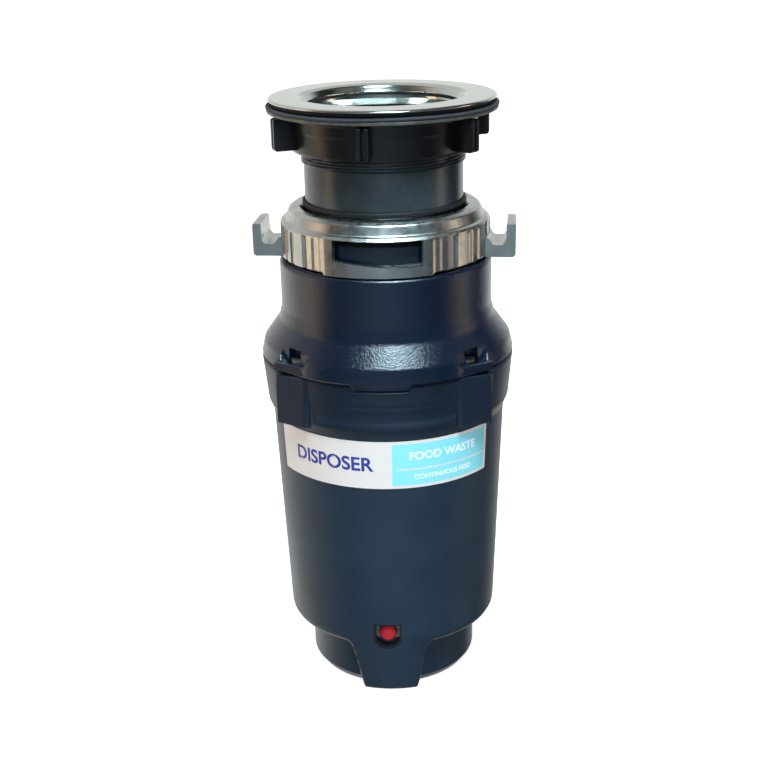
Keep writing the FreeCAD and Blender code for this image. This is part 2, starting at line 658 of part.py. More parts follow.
magnet_bore = size("magnet_bore", 33.5, "inside of the field magnets")
magnet_bottom = size("magnet_bottom", 66, "underside of the magnets")
magnet_top = size("magnet_top", 122, "top of the magnets")
magnet_sweep = size("magnet_sweep", 72, "width of each magnet, degrees")
magnets = [ring(f"field_magnet_{azimuth}", magnet_bore, can_bore, magnet_bottom, magnet_top,
                magnet_sweep, azimuth) for azimuth in (0, 90, 180, 270)]
node(group("field_magnets", magnets), "field_magnets")

frame_bottom = size("frame_bottom", 42, "underside of the brush plate")
frame_height = can_bottom - frame_bottom
bearing_cup = size("bearing_cup", 36.5, "foot of the lower bearing's cup")
cup_wall = size("cup_wall", 3, "wall of the lower bearing's cup")
cup_sheet = size("cup_sheet", 1.5, "floor of the lower bearing's cup")
oil_hole = size("oil_hole", 3, "hole in the floor of the bearing cup")
washer_foot = size("washer_foot", 48.1, "underside of the thrust washer")
washer_bore = size("washer_bore", 6.4, "bore of the thrust washer")
cup_floor = bearing_cup + cup_sheet
brush_blank = turned("brush_plate_blank", [
    (oil_hole, bearing_cup),
    (bearing_radius + cup_wall, bearing_cup),
    (bearing_radius + cup_wall, frame_bottom),
    (can_radius, frame_bottom),
    (can_radius, can_bottom),
    (bearing_radius, can_bottom),
    (bearing_radius, cup_floor),
    (oil_hole, cup_floor),
])
brush_bolt_holes = upright_rods("brush_plate_bolt_hole", through_radius, through_circle,
                                (45, 225), frame_bottom - OVERCUT,
                                frame_height + 2 * OVERCUT)
node(cut("brush_plate", brush_blank, brush_bolt_holes), "brush_plate")
node(ring("lower_bearing", shaft_radius + running_gap, bearing_radius, cup_floor, can_bottom),
     "lower_bearing")
node(ring("thrust_washer", washer_bore, bearing_radius, washer_foot, commutator_bottom),
     "thrust_washer")
bolt_start = size("bolt_start", 39, "lower end of the through bolts")
node(group("motor_through_bolts",
           upright_rods("through_bolt", through_radius, through_circle, (45, 225), bolt_start,
                        bolt_end - bolt_start)), "motor_through_bolts")

brush_height = size("brush_height", 7, "height of each carbon brush")
brush_width = size("brush_width", 6, "width of each carbon brush")
brush_length = size("brush_length", 14, "length of each carbon brush")
brush_level = size("brush_level", 52, "underside of the carbon brushes")
holder_wall = size("holder_wall", 1.5, "wall of each brush holder")
holder_start = size("holder_start", 15, "inner end of each brush holder")
holder_end = size("holder_end", 40, "outer end of each brush holder")
slide_gap = size("slide_gap", 0.3, "gap round each brush in its holder")
spring_radius = size("spring_radius", 2.2, "brush spring")
holders = []
springs = []
for side, label in ((1, "brush_right"), (-1, "brush_left")):
    holder_low = holder_start if side > 0 else -holder_end
    outer = block(label + "_holder_block", holder_end - holder_start,
                  brush_width + holder_wall * 2 + slide_gap * 2,
                  brush_level + brush_height + slide_gap + holder_wall - can_bottom,
                  (holder_low, -brush_width / 2 - holder_wall - slide_gap, can_bottom))
    tunnel_low = holder_start - OVERCUT if side > 0 else -holder_end + holder_wall
    tunnel = block(label + "_tunnel", holder_end - holder_start + OVERCUT - holder_wall,
                   brush_width + slide_gap * 2, brush_height + slide_gap * 2,
                   (tunnel_low, -brush_width / 2 - slide_gap, brush_level - slide_gap))
    holders.append(cut(label + "_holder", outer, [tunnel]))
    start = commutator_radius + slide_gap
    brush_low = start if side > 0 else -start - brush_length
    node(block(label, brush_length, brush_width, brush_height,
               (brush_low, -brush_width / 2, brush_level)), label)
    spring_low = start + brush_length if side > 0 else -holder_end + holder_wall
    springs.append(rod(label + "_spring", spring_radius,
                       holder_end - holder_wall - start - brush_length,
                       (spring_low, 0, brush_level + brush_height / 2), "x"))
node(group("brush_holders", holders), "brush_holders")
node(group("brush_springs", springs), "brush_springs")

# ---------------------------------------------------------------- lower shell
wall = size("wall", 3, "wall of the lower shell")
collar_bottom = size("collar_bottom", 156, "lower edge of the collar")
collar_foot = size("collar_foot", 63.9, "radius at the collar's lower edge")
can_top_radius = size("can_top_radius", 61.4, "can below the collar")
can_top = size("can_top", 151, "top of the can")
can_foot_radius = size("can_foot_radius", 56.3, "foot of the can")
step_height = size("step_height", 30, "step above the base tier")
base_radius = size("base_radius", 45, "base tier")
edge_round = size("edge_round", 3, "rounding of the lower edges")
shell_blank = turned("lower_shell_blank", [
    (base_radius - wall, 0),
    (base_radius - edge_round / 2, 0),
    (base_radius, edge_round / 2),
    (base_radius, step_height),
    (can_foot_radius - edge_round, step_height),
    (can_foot_radius, step_height + edge_round),
    (can_top_radius, can_top),
    (collar_foot, collar_bottom),
    (body_radius, seam_height),
    (body_radius - wall * 1.6, seam_height),
    (can_top_radius - wall, can_top - wall),
    (can_foot_radius - wall, step_height + wall),
    (base_radius - wall, step_height + wall),
])
chin_low = size("chin_low", 13.5, "half width of the chin at the floor")
chin_high = size("chin_high", 21.5, "half width of the chin at the can")
chin_reach = size("chin_reach", 48, "chin's reach at the floor")
chin_back = base_radius - wall
chin = doc.addObject("Part::Wedge", "lower_shell_chin")
chin_sizes = {
    "Xmin": -chin_low, "Xmax": chin_low, "X2min": -chin_high, "X2max": chin_high,
    "Ymin": 0, "Ymax": step_height + edge_round, "Zmin": chin_back, "Zmax": body_radius,
    "Z2min": chin_back, "Z2max": body_radius,
}
for name, length in chin_sizes.items():
    bind(chin, name, length)
place(chin, axis=(1, 0, 0), angle=90)
chin_round = turned("lower_shell_chin_round", [
    (chin_back, 0),
    (chin_reach, 0),
    (can_foot_radius, step_height + edge_round),
    (chin_back, step_height + edge_round),
])
chin_solid = shared("lower_shell_chin_solid", [chin, chin_round])
boss_radius = size("boss_radius", 4.6, "boss round each housing screw")
boss_bottom = size("boss_bottom", 160, "foot of each screw boss")
bosses = upright_rods("lower_shell_boss", boss_radius, screw_circle, SCREWS, boss_bottom,
                      seam_height - boss_bottom)
screw_end = size("screw_end", 164, "lower end of each housing screw")
boss_holes = upright_rods("lower_shell_boss_hole", shank_radius, screw_circle, SCREWS,
                          screw_end, seam_height + OVERCUT - screw_end)
notch_half_width = size("notch_half_width", 20.5, "half width of the notch for the spout")
notch_bottom = size("notch_bottom", 139, "foot of the notch for the spout")
spout_notch = block("lower_shell_notch", notch_half_width * 2, body_radius,
                    seam_height + OVERCUT - notch_bottom,
                    (-notch_half_width, base_radius + wall, notch_bottom))
well_half_width = size("well_half_width", 7.5, "half width of the reset recess")
well_top = size("well_top", 44.5, "top of the reset recess")
well_bottom = size("well_bottom", 28.7, "foot of the reset recess")
well_depth = size("well_depth", 50, "distance of the recess floor from the axis")
well_centre = well_bottom + well_half_width


def well_tools(label, margin):
    """Make the round-bottomed cutter of the reset recess, grown by a margin."""
    half = well_half_width + margin
    arch = rod(label + "_arch", half, body_radius, (0, -body_radius - well_depth, well_centre),
               "y")
    straight = block(label + "_straight", half * 2, body_radius,
                     well_top + margin - well_centre,
                     (-half, -body_radius - well_depth, well_centre))
    return [arch, straight]


protector_half_width = size("protector_half_width", 8.5, "half width of the overload protector")
protector_bottom = size("protector_bottom", 27.6, "underside of the overload protector")
protector_top = size("protector_top", 45.5, "top of the overload protector")
protector_front = size("protector_front", 49.6, "outer face of the overload protector")
protector_back = size("protector_back", 35, "inner face of the overload protector")
room = size("room", 0.5, "room round the overload protector")
reset_space = block("lower_shell_reset_space", (protector_half_width + room) * 2,
                    protector_front - protector_back + room * 2,
                    protector_top - protector_bottom + room * 2,
                    (-protector_half_width - room, -protector_front - room,
                     protector_bottom - room))
shell_solid = joined("lower_shell_solid", [shell_blank, chin_solid] + bosses)
node(cut("lower_shell", shell_solid,
         [spout_notch, reset_space] + boss_holes + well_tools("reset_hole", 0)), "lower_shell")

screw_head = size("screw_head", 3.8, "head of each housing screw")
screw_head_height = size("screw_head_height", 2.6, "height of each housing screw's head")
screw_parts = []
for index, azimuth in enumerate(SCREWS):
    across, back = polar(screw_circle, azimuth)
    stem = rod(f"housing_screw_stem_{index}", shank_radius, pocket_bottom - screw_end,
               (across, back, screw_end))
    head = rod(f"housing_screw_head_{index}", screw_head, screw_head_height,
               (across, back, pocket_bottom))
    screw_parts.append(joined(f"housing_screw_{index}", [stem, head]))
node(group("housing_screws", screw_parts), "housing_screws")

# ---------------------------------------------------------------- reset switch
bezel_sheet = size("bezel_sheet", 1, "lining of the reset recess")
bezel_fit = size("bezel_fit", 0.1, "gap round the lining")
lining = joined("reset_lining", well_tools("reset_lining", -bezel_fit))
opening = joined("reset_opening", well_tools("reset_opening", -bezel_sheet - bezel_fit))
lining_band = ring("reset_band", well_depth, can_foot_radius - bezel_sheet / 2, well_bottom,
                   well_top, 30, FRONT)
lining_solid = shared("reset_lining_solid", [lining, lining_band])
node(cut("reset_bezel", lining_solid, [opening]), "reset_bezel")

button_radius = size("button_radius", 4.4, "reset button")
button_height = size("button_height", 37.2, "axis of the reset button")
button_reach = size("button_reach", 54.6, "face of the reset button")
button_back = size("button_back", 45, "inner end of the reset button")
button_fit = size("button_fit", 0.3, "gap round the reset button")
button_floor = size("button_floor", 39, "floor of the bore behind the reset button")
dome_height = size("dome_height", 1.2, "height of the button's domed face")
dome_fall = size("dome_fall", 1.6, "rounding of the button's domed face")
reset_spring_radius = size("reset_spring_radius", 2.9, "spring behind the reset button")
protector_block = block("overload_block", protector_half_width * 2,
                        protector_front - protector_back, protector_top - protector_bottom,
                        (-protector_half_width, -protector_front, protector_bottom))
button_bore = rod("overload_bore", button_radius + button_fit, well_depth - button_floor,
                  (0, -well_depth, button_height), "y")
motor_room = rod("overload_motor_room", can_radius + room, protector_top, (0, 0, frame_bottom - room))
node(cut("overload_protector", protector_block, [button_bore, motor_room]),
     "overload_protector")
dome_start = button_reach - dome_height
button_body = rod("reset_button_body", button_radius, dome_start - button_back,
                  (0, -dome_start, button_height), "y")
button_dome = doc.addObject("Part::Cone", "reset_button_dome")
bind(button_dome, "Radius1", button_radius)
bind(button_dome, "Radius2", button_radius - dome_fall)
bind(button_dome, "Height", dome_height)
place(button_dome, (0, -dome_start, button_height), (1, 0, 0), 90)
node(joined("reset_button", [button_body, button_dome]), "reset_button")
node(rod("reset_spring", reset_spring_radius, button_back - button_floor,
         (0, -button_back, button_height), "y"), "reset_spring")

# ---------------------------------------------------------------- wiring compartment
deck_bottom = size("deck_bottom", 2.5, "underside of the bottom plate")
deck_sheet = size("deck_sheet", 1.6, "thickness of the bottom plate")
conduit_radius = size("conduit_radius", 11.1, "conduit hole, 7/8 in")
conduit_place = size("conduit_place", 22, "distance of the conduit hole from the axis")
hatch_length = size("hatch_length", 28, "length of the wiring opening")
hatch_width = size("hatch_width", 26, "width of the wiring opening")
post_circle = size("post_circle", 37, "circle of the bottom plate's screws")
ground_place = size("ground_place", 30, "distance of the ground screw from the axis")
small_shank = size("small_shank", 1.5, "shank of the small screws")
small_head = size("small_head", 3, "head of the small screws")
small_head_height = size("small_head_height", 1.4, "height of the small screws' heads")
small_length = size("small_length", 8, "length of the small screws' shanks")
cover_sheet = size("cover_sheet", 1, "thickness of the wire cover")
cover_lap = size("cover_lap", 2, "lap of the wire cover over the opening")
cover_tongue = size("cover_tongue", 8, "tongue of the wire cover that takes its screw")
deck_top = deck_bottom + deck_sheet
deck_radius = base_radius - wall - skirt_fit
cover_bottom = deck_bottom - cover_sheet
cover_screw_place = hatch_width / 2 + cover_lap + cover_tongue / 2
DECK_SCREWS = (90, 210, 330)


def deck_hole(label, radius, across, back):
    """Make the cutter of one round hole through the bottom plate and its cover."""
    return rod(label, radius, deck_top - cover_bottom + 2 * OVERCUT,
               (across, back, cover_bottom - OVERCUT))


def small_screw(label, across, back, seat):
    """Make a pan-head screw that stands upright, head down, on a seat height."""
    head = rod(label + "_head", small_head, small_head_height,
               (across, back, seat - small_head_height))
    stem = rod(label + "_stem", small_shank, small_length, (across, back, seat))
    return joined(label, [head, stem])


deck_blank = rod("bottom_plate_blank", deck_radius, deck_sheet, (0, 0, deck_bottom))
hatch = block("bottom_plate_hatch", hatch_length, hatch_width, deck_sheet + 2 * OVERCUT,
              (-conduit_place - hatch_length / 2, -hatch_width / 2, deck_bottom - OVERCUT))
deck_holes = [
    deck_hole("bottom_plate_conduit", conduit_radius, conduit_place, 0),
    deck_hole("bottom_plate_ground_hole", small_shank, 0, -ground_place),
    deck_hole("bottom_plate_cover_hole", small_shank, -conduit_place, cover_screw_place),
]
for azimuth in DECK_SCREWS:
    deck_holes.append(deck_hole(f"bottom_plate_hole_{azimuth}", small_shank,
                                *polar(post_circle, azimuth)))
node(cut("bottom_plate", deck_blank, [hatch] + deck_holes), "bottom_plate")

cover_plate = block("wire_cover_plate", hatch_length + cover_lap * 2,
                    hatch_width + cover_lap * 2 + cover_tongue, cover_sheet,
                    (-conduit_place - hatch_length / 2 - cover_lap,
                     -hatch_width / 2 - cover_lap, cover_bottom))
cover_round = rod("wire_cover_round", deck_radius, cover_sheet, (0, 0, cover_bottom))
cover_trim = shared("wire_cover_trim", [cover_plate, cover_round])
cover_hole = deck_hole("wire_cover_hole", small_shank, -conduit_place, cover_screw_place)
node(cut("wire_cover", cover_trim, [cover_hole]), "wire_cover")
node(small_screw("wire_cover_screw", -conduit_place, cover_screw_place, cover_bottom),
     "wire_cover_screw")
node(small_screw("ground_screw", 0, -ground_place, deck_bottom), "ground_screw")
node(group("bottom_screws",
           [small_screw(f"bottom_screw_{azimuth}", *polar(post_circle, azimuth), deck_bottom)
            for azimuth in DECK_SCREWS]), "bottom_screws")

rectifier_side = size("rectifier_side", 22, "side of the rectifier")
rectifier_height = size("rectifier_height", 8, "height of the rectifier")
rectifier_bottom = size("rectifier_bottom", 22, "underside of the rectifier")
rectifier_place = size("rectifier_place", 8, "near side of the rectifier")
lead_radius = size("lead_radius", 1.4, "insulated lead")
lead_spacing = size("lead_spacing", 5, "spacing of the insulated leads")
lead_end_gap = size("lead_end_gap", 0.4, "gap at each end of a lead")
node(block("rectifier", rectifier_side, rectifier_side, rectifier_height,
           (rectifier_place, -rectifier_side / 2, rectifier_bottom)), "rectifier")
line_start = deck_top + lead_end_gap
line_leads = []
motor_leads = []
for step in (-1, 0, 1):
    line_leads.append(rod(f"line_lead_{step}", lead_radius,
                          rectifier_bottom - lead_end_gap - line_start,
                          (conduit_place, lead_spacing * step, line_start)))
for step in (-1, 1):
    motor_leads.append(rod(f"motor_lead_{step}", lead_radius,
                           frame_bottom - rectifier_bottom - rectifier_height
                           - lead_end_gap * 2,
                           (conduit_place, lead_spacing * step,
                            rectifier_bottom + rectifier_height + lead_end_gap)))
node(group("line_leads", line_leads), "line_leads")
node(group("motor_leads", motor_leads), "motor_leads")

# ---------------------------------------------------------------- front label
label_bottom = size("label_bottom", 124.4, "lower edge of the front label")
label_top = size("label_top", 150.2, "upper edge of the front label")
label_sheet = size("label_sheet", 0.3, "thickness of the front label")
label_sweep = size("label_sweep", 118, "width of the front label, degrees")
can_slope = (can_top_radius.value - can_foot_radius.value) / (
    can_top.value - step_height.value - edge_round.value)


def on_can(height):
    """Return the can's outer radius at a height on its tapered wall."""
    return can_top_radius - (can_top - height) * can_slope


node(turned("front_label", [
    (on_can(label_bottom), label_bottom),
    (on_can(label_bottom) + label_sheet, label_bottom),
    (on_can(label_top) + label_sheet, label_top),
    (on_can(label_top), label_top),
], label_sweep, FRONT), "front_label")

# ---------------------------------------------------------------- check and write
doc.recompute()
for item in doc.Objects:
    if "Invalid" in item.State or "Error" in item.State:
        raise RuntimeError(f"{item.Label} failed: {item.State}")
os.makedirs("parts", exist_ok=True)
for item in nodes:
    if item.Shape.isNull() or not item.Shape.isValid():
        raise RuntimeError(f"{item.Label} has no valid shape")
    item.Shape.exportStep(f"parts/{item.Label}.step")
    print(item.Label, len(item.Shape.Solids), round(item.Shape.Volume))
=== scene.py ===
import math

import bmesh
import bpy
import numpy as np
from mathutils import Matrix, Vector


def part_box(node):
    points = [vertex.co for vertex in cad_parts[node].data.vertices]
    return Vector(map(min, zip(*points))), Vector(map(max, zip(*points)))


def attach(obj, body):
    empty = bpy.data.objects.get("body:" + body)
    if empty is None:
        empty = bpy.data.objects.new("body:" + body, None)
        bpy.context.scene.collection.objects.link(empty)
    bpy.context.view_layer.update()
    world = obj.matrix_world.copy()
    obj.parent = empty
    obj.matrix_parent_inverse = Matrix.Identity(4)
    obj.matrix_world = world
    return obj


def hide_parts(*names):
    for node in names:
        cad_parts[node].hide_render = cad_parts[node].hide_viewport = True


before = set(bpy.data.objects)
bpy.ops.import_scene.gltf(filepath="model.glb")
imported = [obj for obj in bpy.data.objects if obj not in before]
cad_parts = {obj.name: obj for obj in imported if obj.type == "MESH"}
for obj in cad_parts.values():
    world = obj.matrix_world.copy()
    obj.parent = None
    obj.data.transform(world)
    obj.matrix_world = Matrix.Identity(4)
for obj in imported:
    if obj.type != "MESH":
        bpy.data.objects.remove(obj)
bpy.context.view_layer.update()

# ------------------------------------------------------------------ studio
# A pale floor inside a tall pale wall, soft boxes at both sides, overhead and in front, and
# a camera a little above the disposer's rim and a few degrees round to its right.
MM = 0.001
scene = bpy.context.scene
scene.view_settings.view_transform = "Standard"


def paint(red, green, blue):
    """Turn a colour of 0 to 255 per channel, as on a screen, into linear light."""
    channels = np.array([red, green, blue]) / 255
    low = channels / 12.92
    high = ((channels + 0.055) / 1.055) ** 2.4
    return tuple(np.where(channels <= 0.04045, low, high))


def shade(name, colour, roughness, metallic=0.0, **sockets):
    """Start a material on the Principled shader, with other sockets given by name."""
    made = bpy.data.materials.new(name)
    made.use_nodes = True
    shader = made.node_tree.nodes["Principled BSDF"]
    shader.inputs["Base Color"].default_value = (*colour, 1)
    shader.inputs["Roughness"].default_value = roughness
    shader.inputs["Metallic"].default_value = metallic
    for socket, value in sockets.items():
        shader.inputs[socket.replace("_", " ")].default_value = value
    return made


camera_pitch = math.radians(20)
camera_turn = math.radians(3.3)
camera_aim = math.radians(0.20)
camera_roll = math.radians(-1.32)
camera_distance = 670 * MM
camera_height = 402.4 * MM
camera_data = bpy.data.cameras.new("studio_camera")
camera_data.lens = 62.34
camera_data.sensor_width = 36
camera_data.clip_start = 0.01
camera = bpy.data.objects.new("studio_camera", camera_data)
scene.collection.objects.link(camera)
camera.matrix_world = (
    Matrix.Translation((camera_distance * math.sin(camera_turn),
                        -camera_distance * math.cos(camera_turn), camera_height))
    @ Matrix.Rotation(camera_turn + camera_aim, 4, "Z")
    @ Matrix.Rotation(math.pi / 2 - camera_pitch, 4, "X")
    @ Matrix.Rotation(camera_roll, 4, "Z"))
scene.camera = camera

world = bpy.data.worlds.new("studio_air")
world.use_nodes = True
air = world.node_tree
air_way = air.nodes.new("ShaderNodeTexCoord")
air_parts = air.nodes.new("ShaderNodeSeparateXYZ")
air_behind = air.nodes.new("ShaderNodeMath")
air_behind.operation = "MULTIPLY"
air_behind.inputs[1].default_value = -1
air_round = air.nodes.new("ShaderNodeMath")
air_round.operation = "ARCTAN2"
air_share = air.nodes.new("ShaderNodeMapRange")
air_share.inputs["From Min"].default_value = -math.pi
air_share.inputs["From Max"].default_value = math.pi
air_walls = air.nodes.new("ShaderNodeValToRGB")
air_walls.color_ramp.interpolation = "EASE"
wall_tones = (
    (-180, (0.90, 0.92, 0.90)), (-128, (0.95, 0.95, 0.91)), (-102, (0.72, 0.69, 0.62)),
    (-88, (0.34, 0.28, 0.21)), (-56, (0.08, 0.08, 0.08)), (-25, (0.18, 0.22, 0.25)),
    (0, (0.26, 0.34, 0.38)), (30, (0.14, 0.18, 0.21)), (62, (0.04, 0.04, 0.05)),
    (84, (0.24, 0.22, 0.20)), (100, (0.20, 0.20, 0.19)), (114, (0.03, 0.03, 0.03)),
    (132, (0.04, 0.04, 0.05)), (150, (0.90, 0.92, 0.90)), (180, (0.90, 0.92, 0.90)),
)
ramp_stops = air_walls.color_ramp.elements
while len(ramp_stops) < len(wall_tones):
    ramp_stops.new(0.5)
for stop, (azimuth, tone) in zip(ramp_stops, wall_tones):
    stop.position = azimuth / 360 + 0.5
    stop.color = (*tone, 1)
air_height = air.nodes.new("ShaderNodeMapRange")
air_height.inputs["From Min"].default_value = -0.34
air_height.inputs["From Max"].default_value = 0.34
air_height.inputs["To Min"].default_value = 1.30
air_height.inputs["To Max"].default_value = 0.72
air_shader = air.nodes["Background"]
for source, target in (
        (air_way.outputs["Generated"], air_parts.inputs["Vector"]),
        (air_parts.outputs["X"], air_round.inputs[0]),
        (air_parts.outputs["Y"], air_behind.inputs[0]),
        (air_behind.outputs["Value"], air_round.inputs[1]),
        (air_round.outputs["Value"], air_share.inputs["Value"]),
        (air_share.outputs["Result"], air_walls.inputs["Fac"]),
        (air_walls.outputs["Color"], air_shader.inputs["Color"]),
        (air_parts.outputs["Z"], air_height.inputs["Value"]),
        (air_height.outputs["Result"], air_shader.inputs["Strength"])):
    air.links.new(source, target)
scene.world = world


def softbox(name, azimuth, elevation, distance, width, height, power, tone, mirrored):
    """Hang a rectangular light that faces the disposer's middle, at an azimuth from the front
    (positive to the right) and an elevation, both in degrees; glossy pieces may mirror it."""
    data = bpy.data.lights.new(name, "AREA")
    data.shape = "RECTANGLE"
    data.size = width
    data.size_y = height
    data.energy = power
    data.color = tone
    light = bpy.data.objects.new(name, data)
    scene.collection.objects.link(light)
    turn, rise = math.radians(azimuth), math.radians(elevation)
    away = Vector((math.sin(turn) * math.cos(rise), -math.cos(turn) * math.cos(rise),
                   math.sin(rise)))
    light.location = Vector((0, 0, 0.17)) + away * distance
    light.rotation_euler = (-away).to_track_quat("-Z", "Y").to_euler()
    light.visible_glossy = mirrored


softbox("left_softbox", -82, 4, 1.3, 0.40, 1.2, 2.0, (1.0, 0.74, 0.48), True)
softbox("right_softbox", 92, 4, 1.3, 0.30, 1.2, 1.5, (1.0, 0.78, 0.60), True)
softbox("top_softbox", 14, 63, 1.3, 0.46, 0.38, 25, (0.66, 0.90, 1.0), True)
softbox("front_softbox", -26, 26, 2.0, 2.2, 1.2, 10, (1.0, 0.97, 0.93), False)
softbox("low_softbox", 12, -12, 0.62, 0.7, 0.12, 1.8, (0.92, 0.97, 1.0), False)

pale_paint = shade("floor_paint", (0.9, 0.9, 0.9), 0.9)
pale_shader = pale_paint.node_tree.nodes["Principled BSDF"]
pale_shader.inputs["Emission Color"].default_value = (1, 1, 1, 1)
pale_shader.inputs["Emission Strength"].default_value = 0.82


def backdrop(name, points, faces):
    """Stand a pale surface round the disposer that it neither mirrors nor is shaded by."""
    mesh = bpy.data.meshes.new(name)
    mesh.from_pydata(points, [], faces)
    mesh.materials.append(pale_paint)
    surface = bpy.data.objects.new(name, mesh)
    scene.collection.objects.link(surface)
    surface.visible_glossy = False
    surface.visible_diffuse = False
    surface.visible_shadow = False


floor_half = 14.0
backdrop("studio_floor", [(-floor_half, -floor_half, 0), (floor_half, -floor_half, 0),
                          (floor_half, floor_half, 0), (-floor_half, floor_half, 0)],
         [(0, 1, 2, 3)])
wall_reach = 13.0
wall_top = 10.0
wall_sides = 96
wall_points = []
for level in (0, wall_top):
    for side in range(wall_sides):
        wall_angle = side * 2 * math.pi / wall_sides
        wall_points.append((wall_reach * math.cos(wall_angle),
                            wall_reach * math.sin(wall_angle), level))
wall_faces = []
for side in range(wall_sides):
    beside = (side + 1) % wall_sides
    wall_faces.append((side, side + wall_sides, beside + wall_sides, beside))
backdrop("studio_wall", wall_points, wall_faces)

# ------------------------------------------------------------------ lower shell
# One deep injection moulding in slate navy plastic: a tapered can with a collar above, four
# screw bosses, and a narrower foot whose front keeps the can's line down to the floor.


def top_of(node):
    """Return the height of a node's top in millimetres."""
    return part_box(node)[1][2] / MM


def foot_of(node):
    """Return the height of a node's foot in millimetres."""
    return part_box(node)[0][2] / MM


def reach_of(node):
    """Return half a node's width along X in millimetres, its radius if it is round."""
    low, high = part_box(node)
    return (high[0] - low[0]) / 2 / MM


def noise_into(made, scale, detail, name="noise", stretch=(1, 1, 1)):
    """Add a noise texture on object coordinates, stretched by a mapping, and return it."""
    nodes = made.node_tree.nodes
    links = made.node_tree.links
    place = nodes.new("ShaderNodeTexCoord")
    turn = nodes.new("ShaderNodeMapping")
    turn.inputs["Scale"].default_value = stretch
    grain = nodes.new("ShaderNodeTexNoise")
    grain.name = name
    grain.inputs["Scale"].default_value = scale
    grain.inputs["Detail"].default_value = detail
    links.new(place.outputs["Object"], turn.inputs["Vector"])
    links.new(turn.outputs["Vector"], grain.inputs["Vector"])
    return grain


def emboss(made, height, strength, distance):
    """Raise the surface by a height socket; a second call adds to the first."""
    nodes = made.node_tree.nodes
    links = made.node_tree.links
    normal = nodes["Principled BSDF"].inputs["Normal"]
    bump = nodes.new("ShaderNodeBump")
    bump.inputs["Strength"].default_value = strength
    bump.inputs["Distance"].default_value = distance
    if normal.is_linked:
        links.new(normal.links[0].from_socket, bump.inputs["Normal"])
    links.new(height, bump.inputs["Height"])
    links.new(bump.outputs["Normal"], normal)


def vary(made, socket, source, low, high, start=0.3, stop=0.7):
    """Drive a number of the shader from a noise between two values."""
    spread = made.node_tree.nodes.new("ShaderNodeMapRange")
    spread.inputs["From Min"].default_value = start
    spread.inputs["From Max"].default_value = stop
    spread.inputs["To Min"].default_value = low
    spread.inputs["To Max"].default_value = high
    links = made.node_tree.links
    links.new(source, spread.inputs["Value"])
    links.new(spread.outputs["Result"], made.node_tree.nodes["Principled BSDF"].inputs[socket])


def tint(made, source, colours, stops=(0.35, 0.65)):
    """Colour the shader between two tones by a noise."""
    band = made.node_tree.nodes.new("ShaderNodeValToRGB")
    for element, colour, stop in zip(band.color_ramp.elements, colours, stops):
        element.color = (*colour, 1)
        element.position = stop
    links = made.node_tree.links
    links.new(source, band.inputs["Fac"])
    links.new(band.outputs["Color"],
              made.node_tree.nodes["Principled BSDF"].inputs["Base Color"])


def moulded(name, dark, light, roughness, grain_size, depth):
    """Moulded plastic: two close tones in soft clouds, and a fine even texture in relief."""
    made = shade(name, dark, roughness)
    clouds = noise_into(made, 45, 3, "clouds")
    tint(made, clouds.outputs["Fac"], (dark, light))
    smears = noise_into(made, 18, 4, "smears", (1, 1, 0.35))
    vary(made, "Roughness", smears.outputs["Fac"], roughness * 0.86, roughness * 1.16)
    fine = noise_into(made, 1 / grain_size / MM, 2, "texture")
    emboss(made, fine.outputs["Fac"], 0.5, depth * MM)
    return made


def outline(corners, arc_steps=6):
    """Round the corners of an open outline given as (radius, height, rounding).

    At each corner the two sides are cut back by rounding / tan(half the corner's angle),
    and an arc of that radius, tangent to both, joins the two cuts.
    """
    points = [np.array(corners[0][:2], float)]
    for before, here, after in zip(corners, corners[1:], corners[2:]):
        corner = np.array(here[:2], float)
        back = np.array(before[:2]) - corner
        on = np.array(after[:2]) - corner
        back = back / np.linalg.norm(back)
        on = on / np.linalg.norm(on)
        half = math.acos(np.clip(back @ on, -1, 1)) / 2
        if here[2] == 0 or abs(half - math.pi / 2) < 0.01:
            points.append(corner)
            continue
        centre = corner + (back + on) / np.linalg.norm(back + on) * here[2] / math.sin(half)
        start = corner + back * here[2] / math.tan(half) - centre
        stop = corner + on * here[2] / math.tan(half) - centre
        sweep = math.pi - 2 * half
        share = np.linspace(0, 1, arc_steps)[:, None]
        arc = (np.sin((1 - share) * sweep) * start + np.sin(share * sweep) * stop)
        points.extend(centre + arc / math.sin(sweep))
    points.append(np.array(corners[-1][:2], float))
    return np.array(points)


def spaced(points, step):
    """Add points along an outline so that none are further apart than a step."""
    runs = [points[:1]]
    for start, stop in zip(points, points[1:]):
        count = max(1, math.ceil(np.linalg.norm(stop - start) / step))
        runs.append(start + (stop - start) * np.linspace(0, 1, count + 1)[1:, None])
    return np.concatenate(runs)


def ramp(value, start, stop):
    """Rise from 0 at start to 1 at stop along an S-shaped curve."""
    share = np.clip((value - start) / (stop - start), 0, 1)
    return share * share * (3 - 2 * share)


def plateau(value, low, high, edge):
    """Be 1 between low and high and 0 outside, with S-shaped flanks."""
    return ramp(value, low - edge, low + edge) * (1 - ramp(value, high - edge, high + edge))


def woven(rows, columns, wrap_rows):
    """Join a grid of points, closed along its columns, into four-sided faces."""
    last = rows if wrap_rows else rows - 1
    row = np.arange(last)[:, None]
    column = np.arange(columns)[None, :]
    above = (row + 1) % rows
    beside = (column + 1) % columns
    corners = [row * columns + column, row * columns + beside,
               above * columns + beside, above * columns + column]
    return np.stack([corner.reshape(-1) for corner in corners], 1)


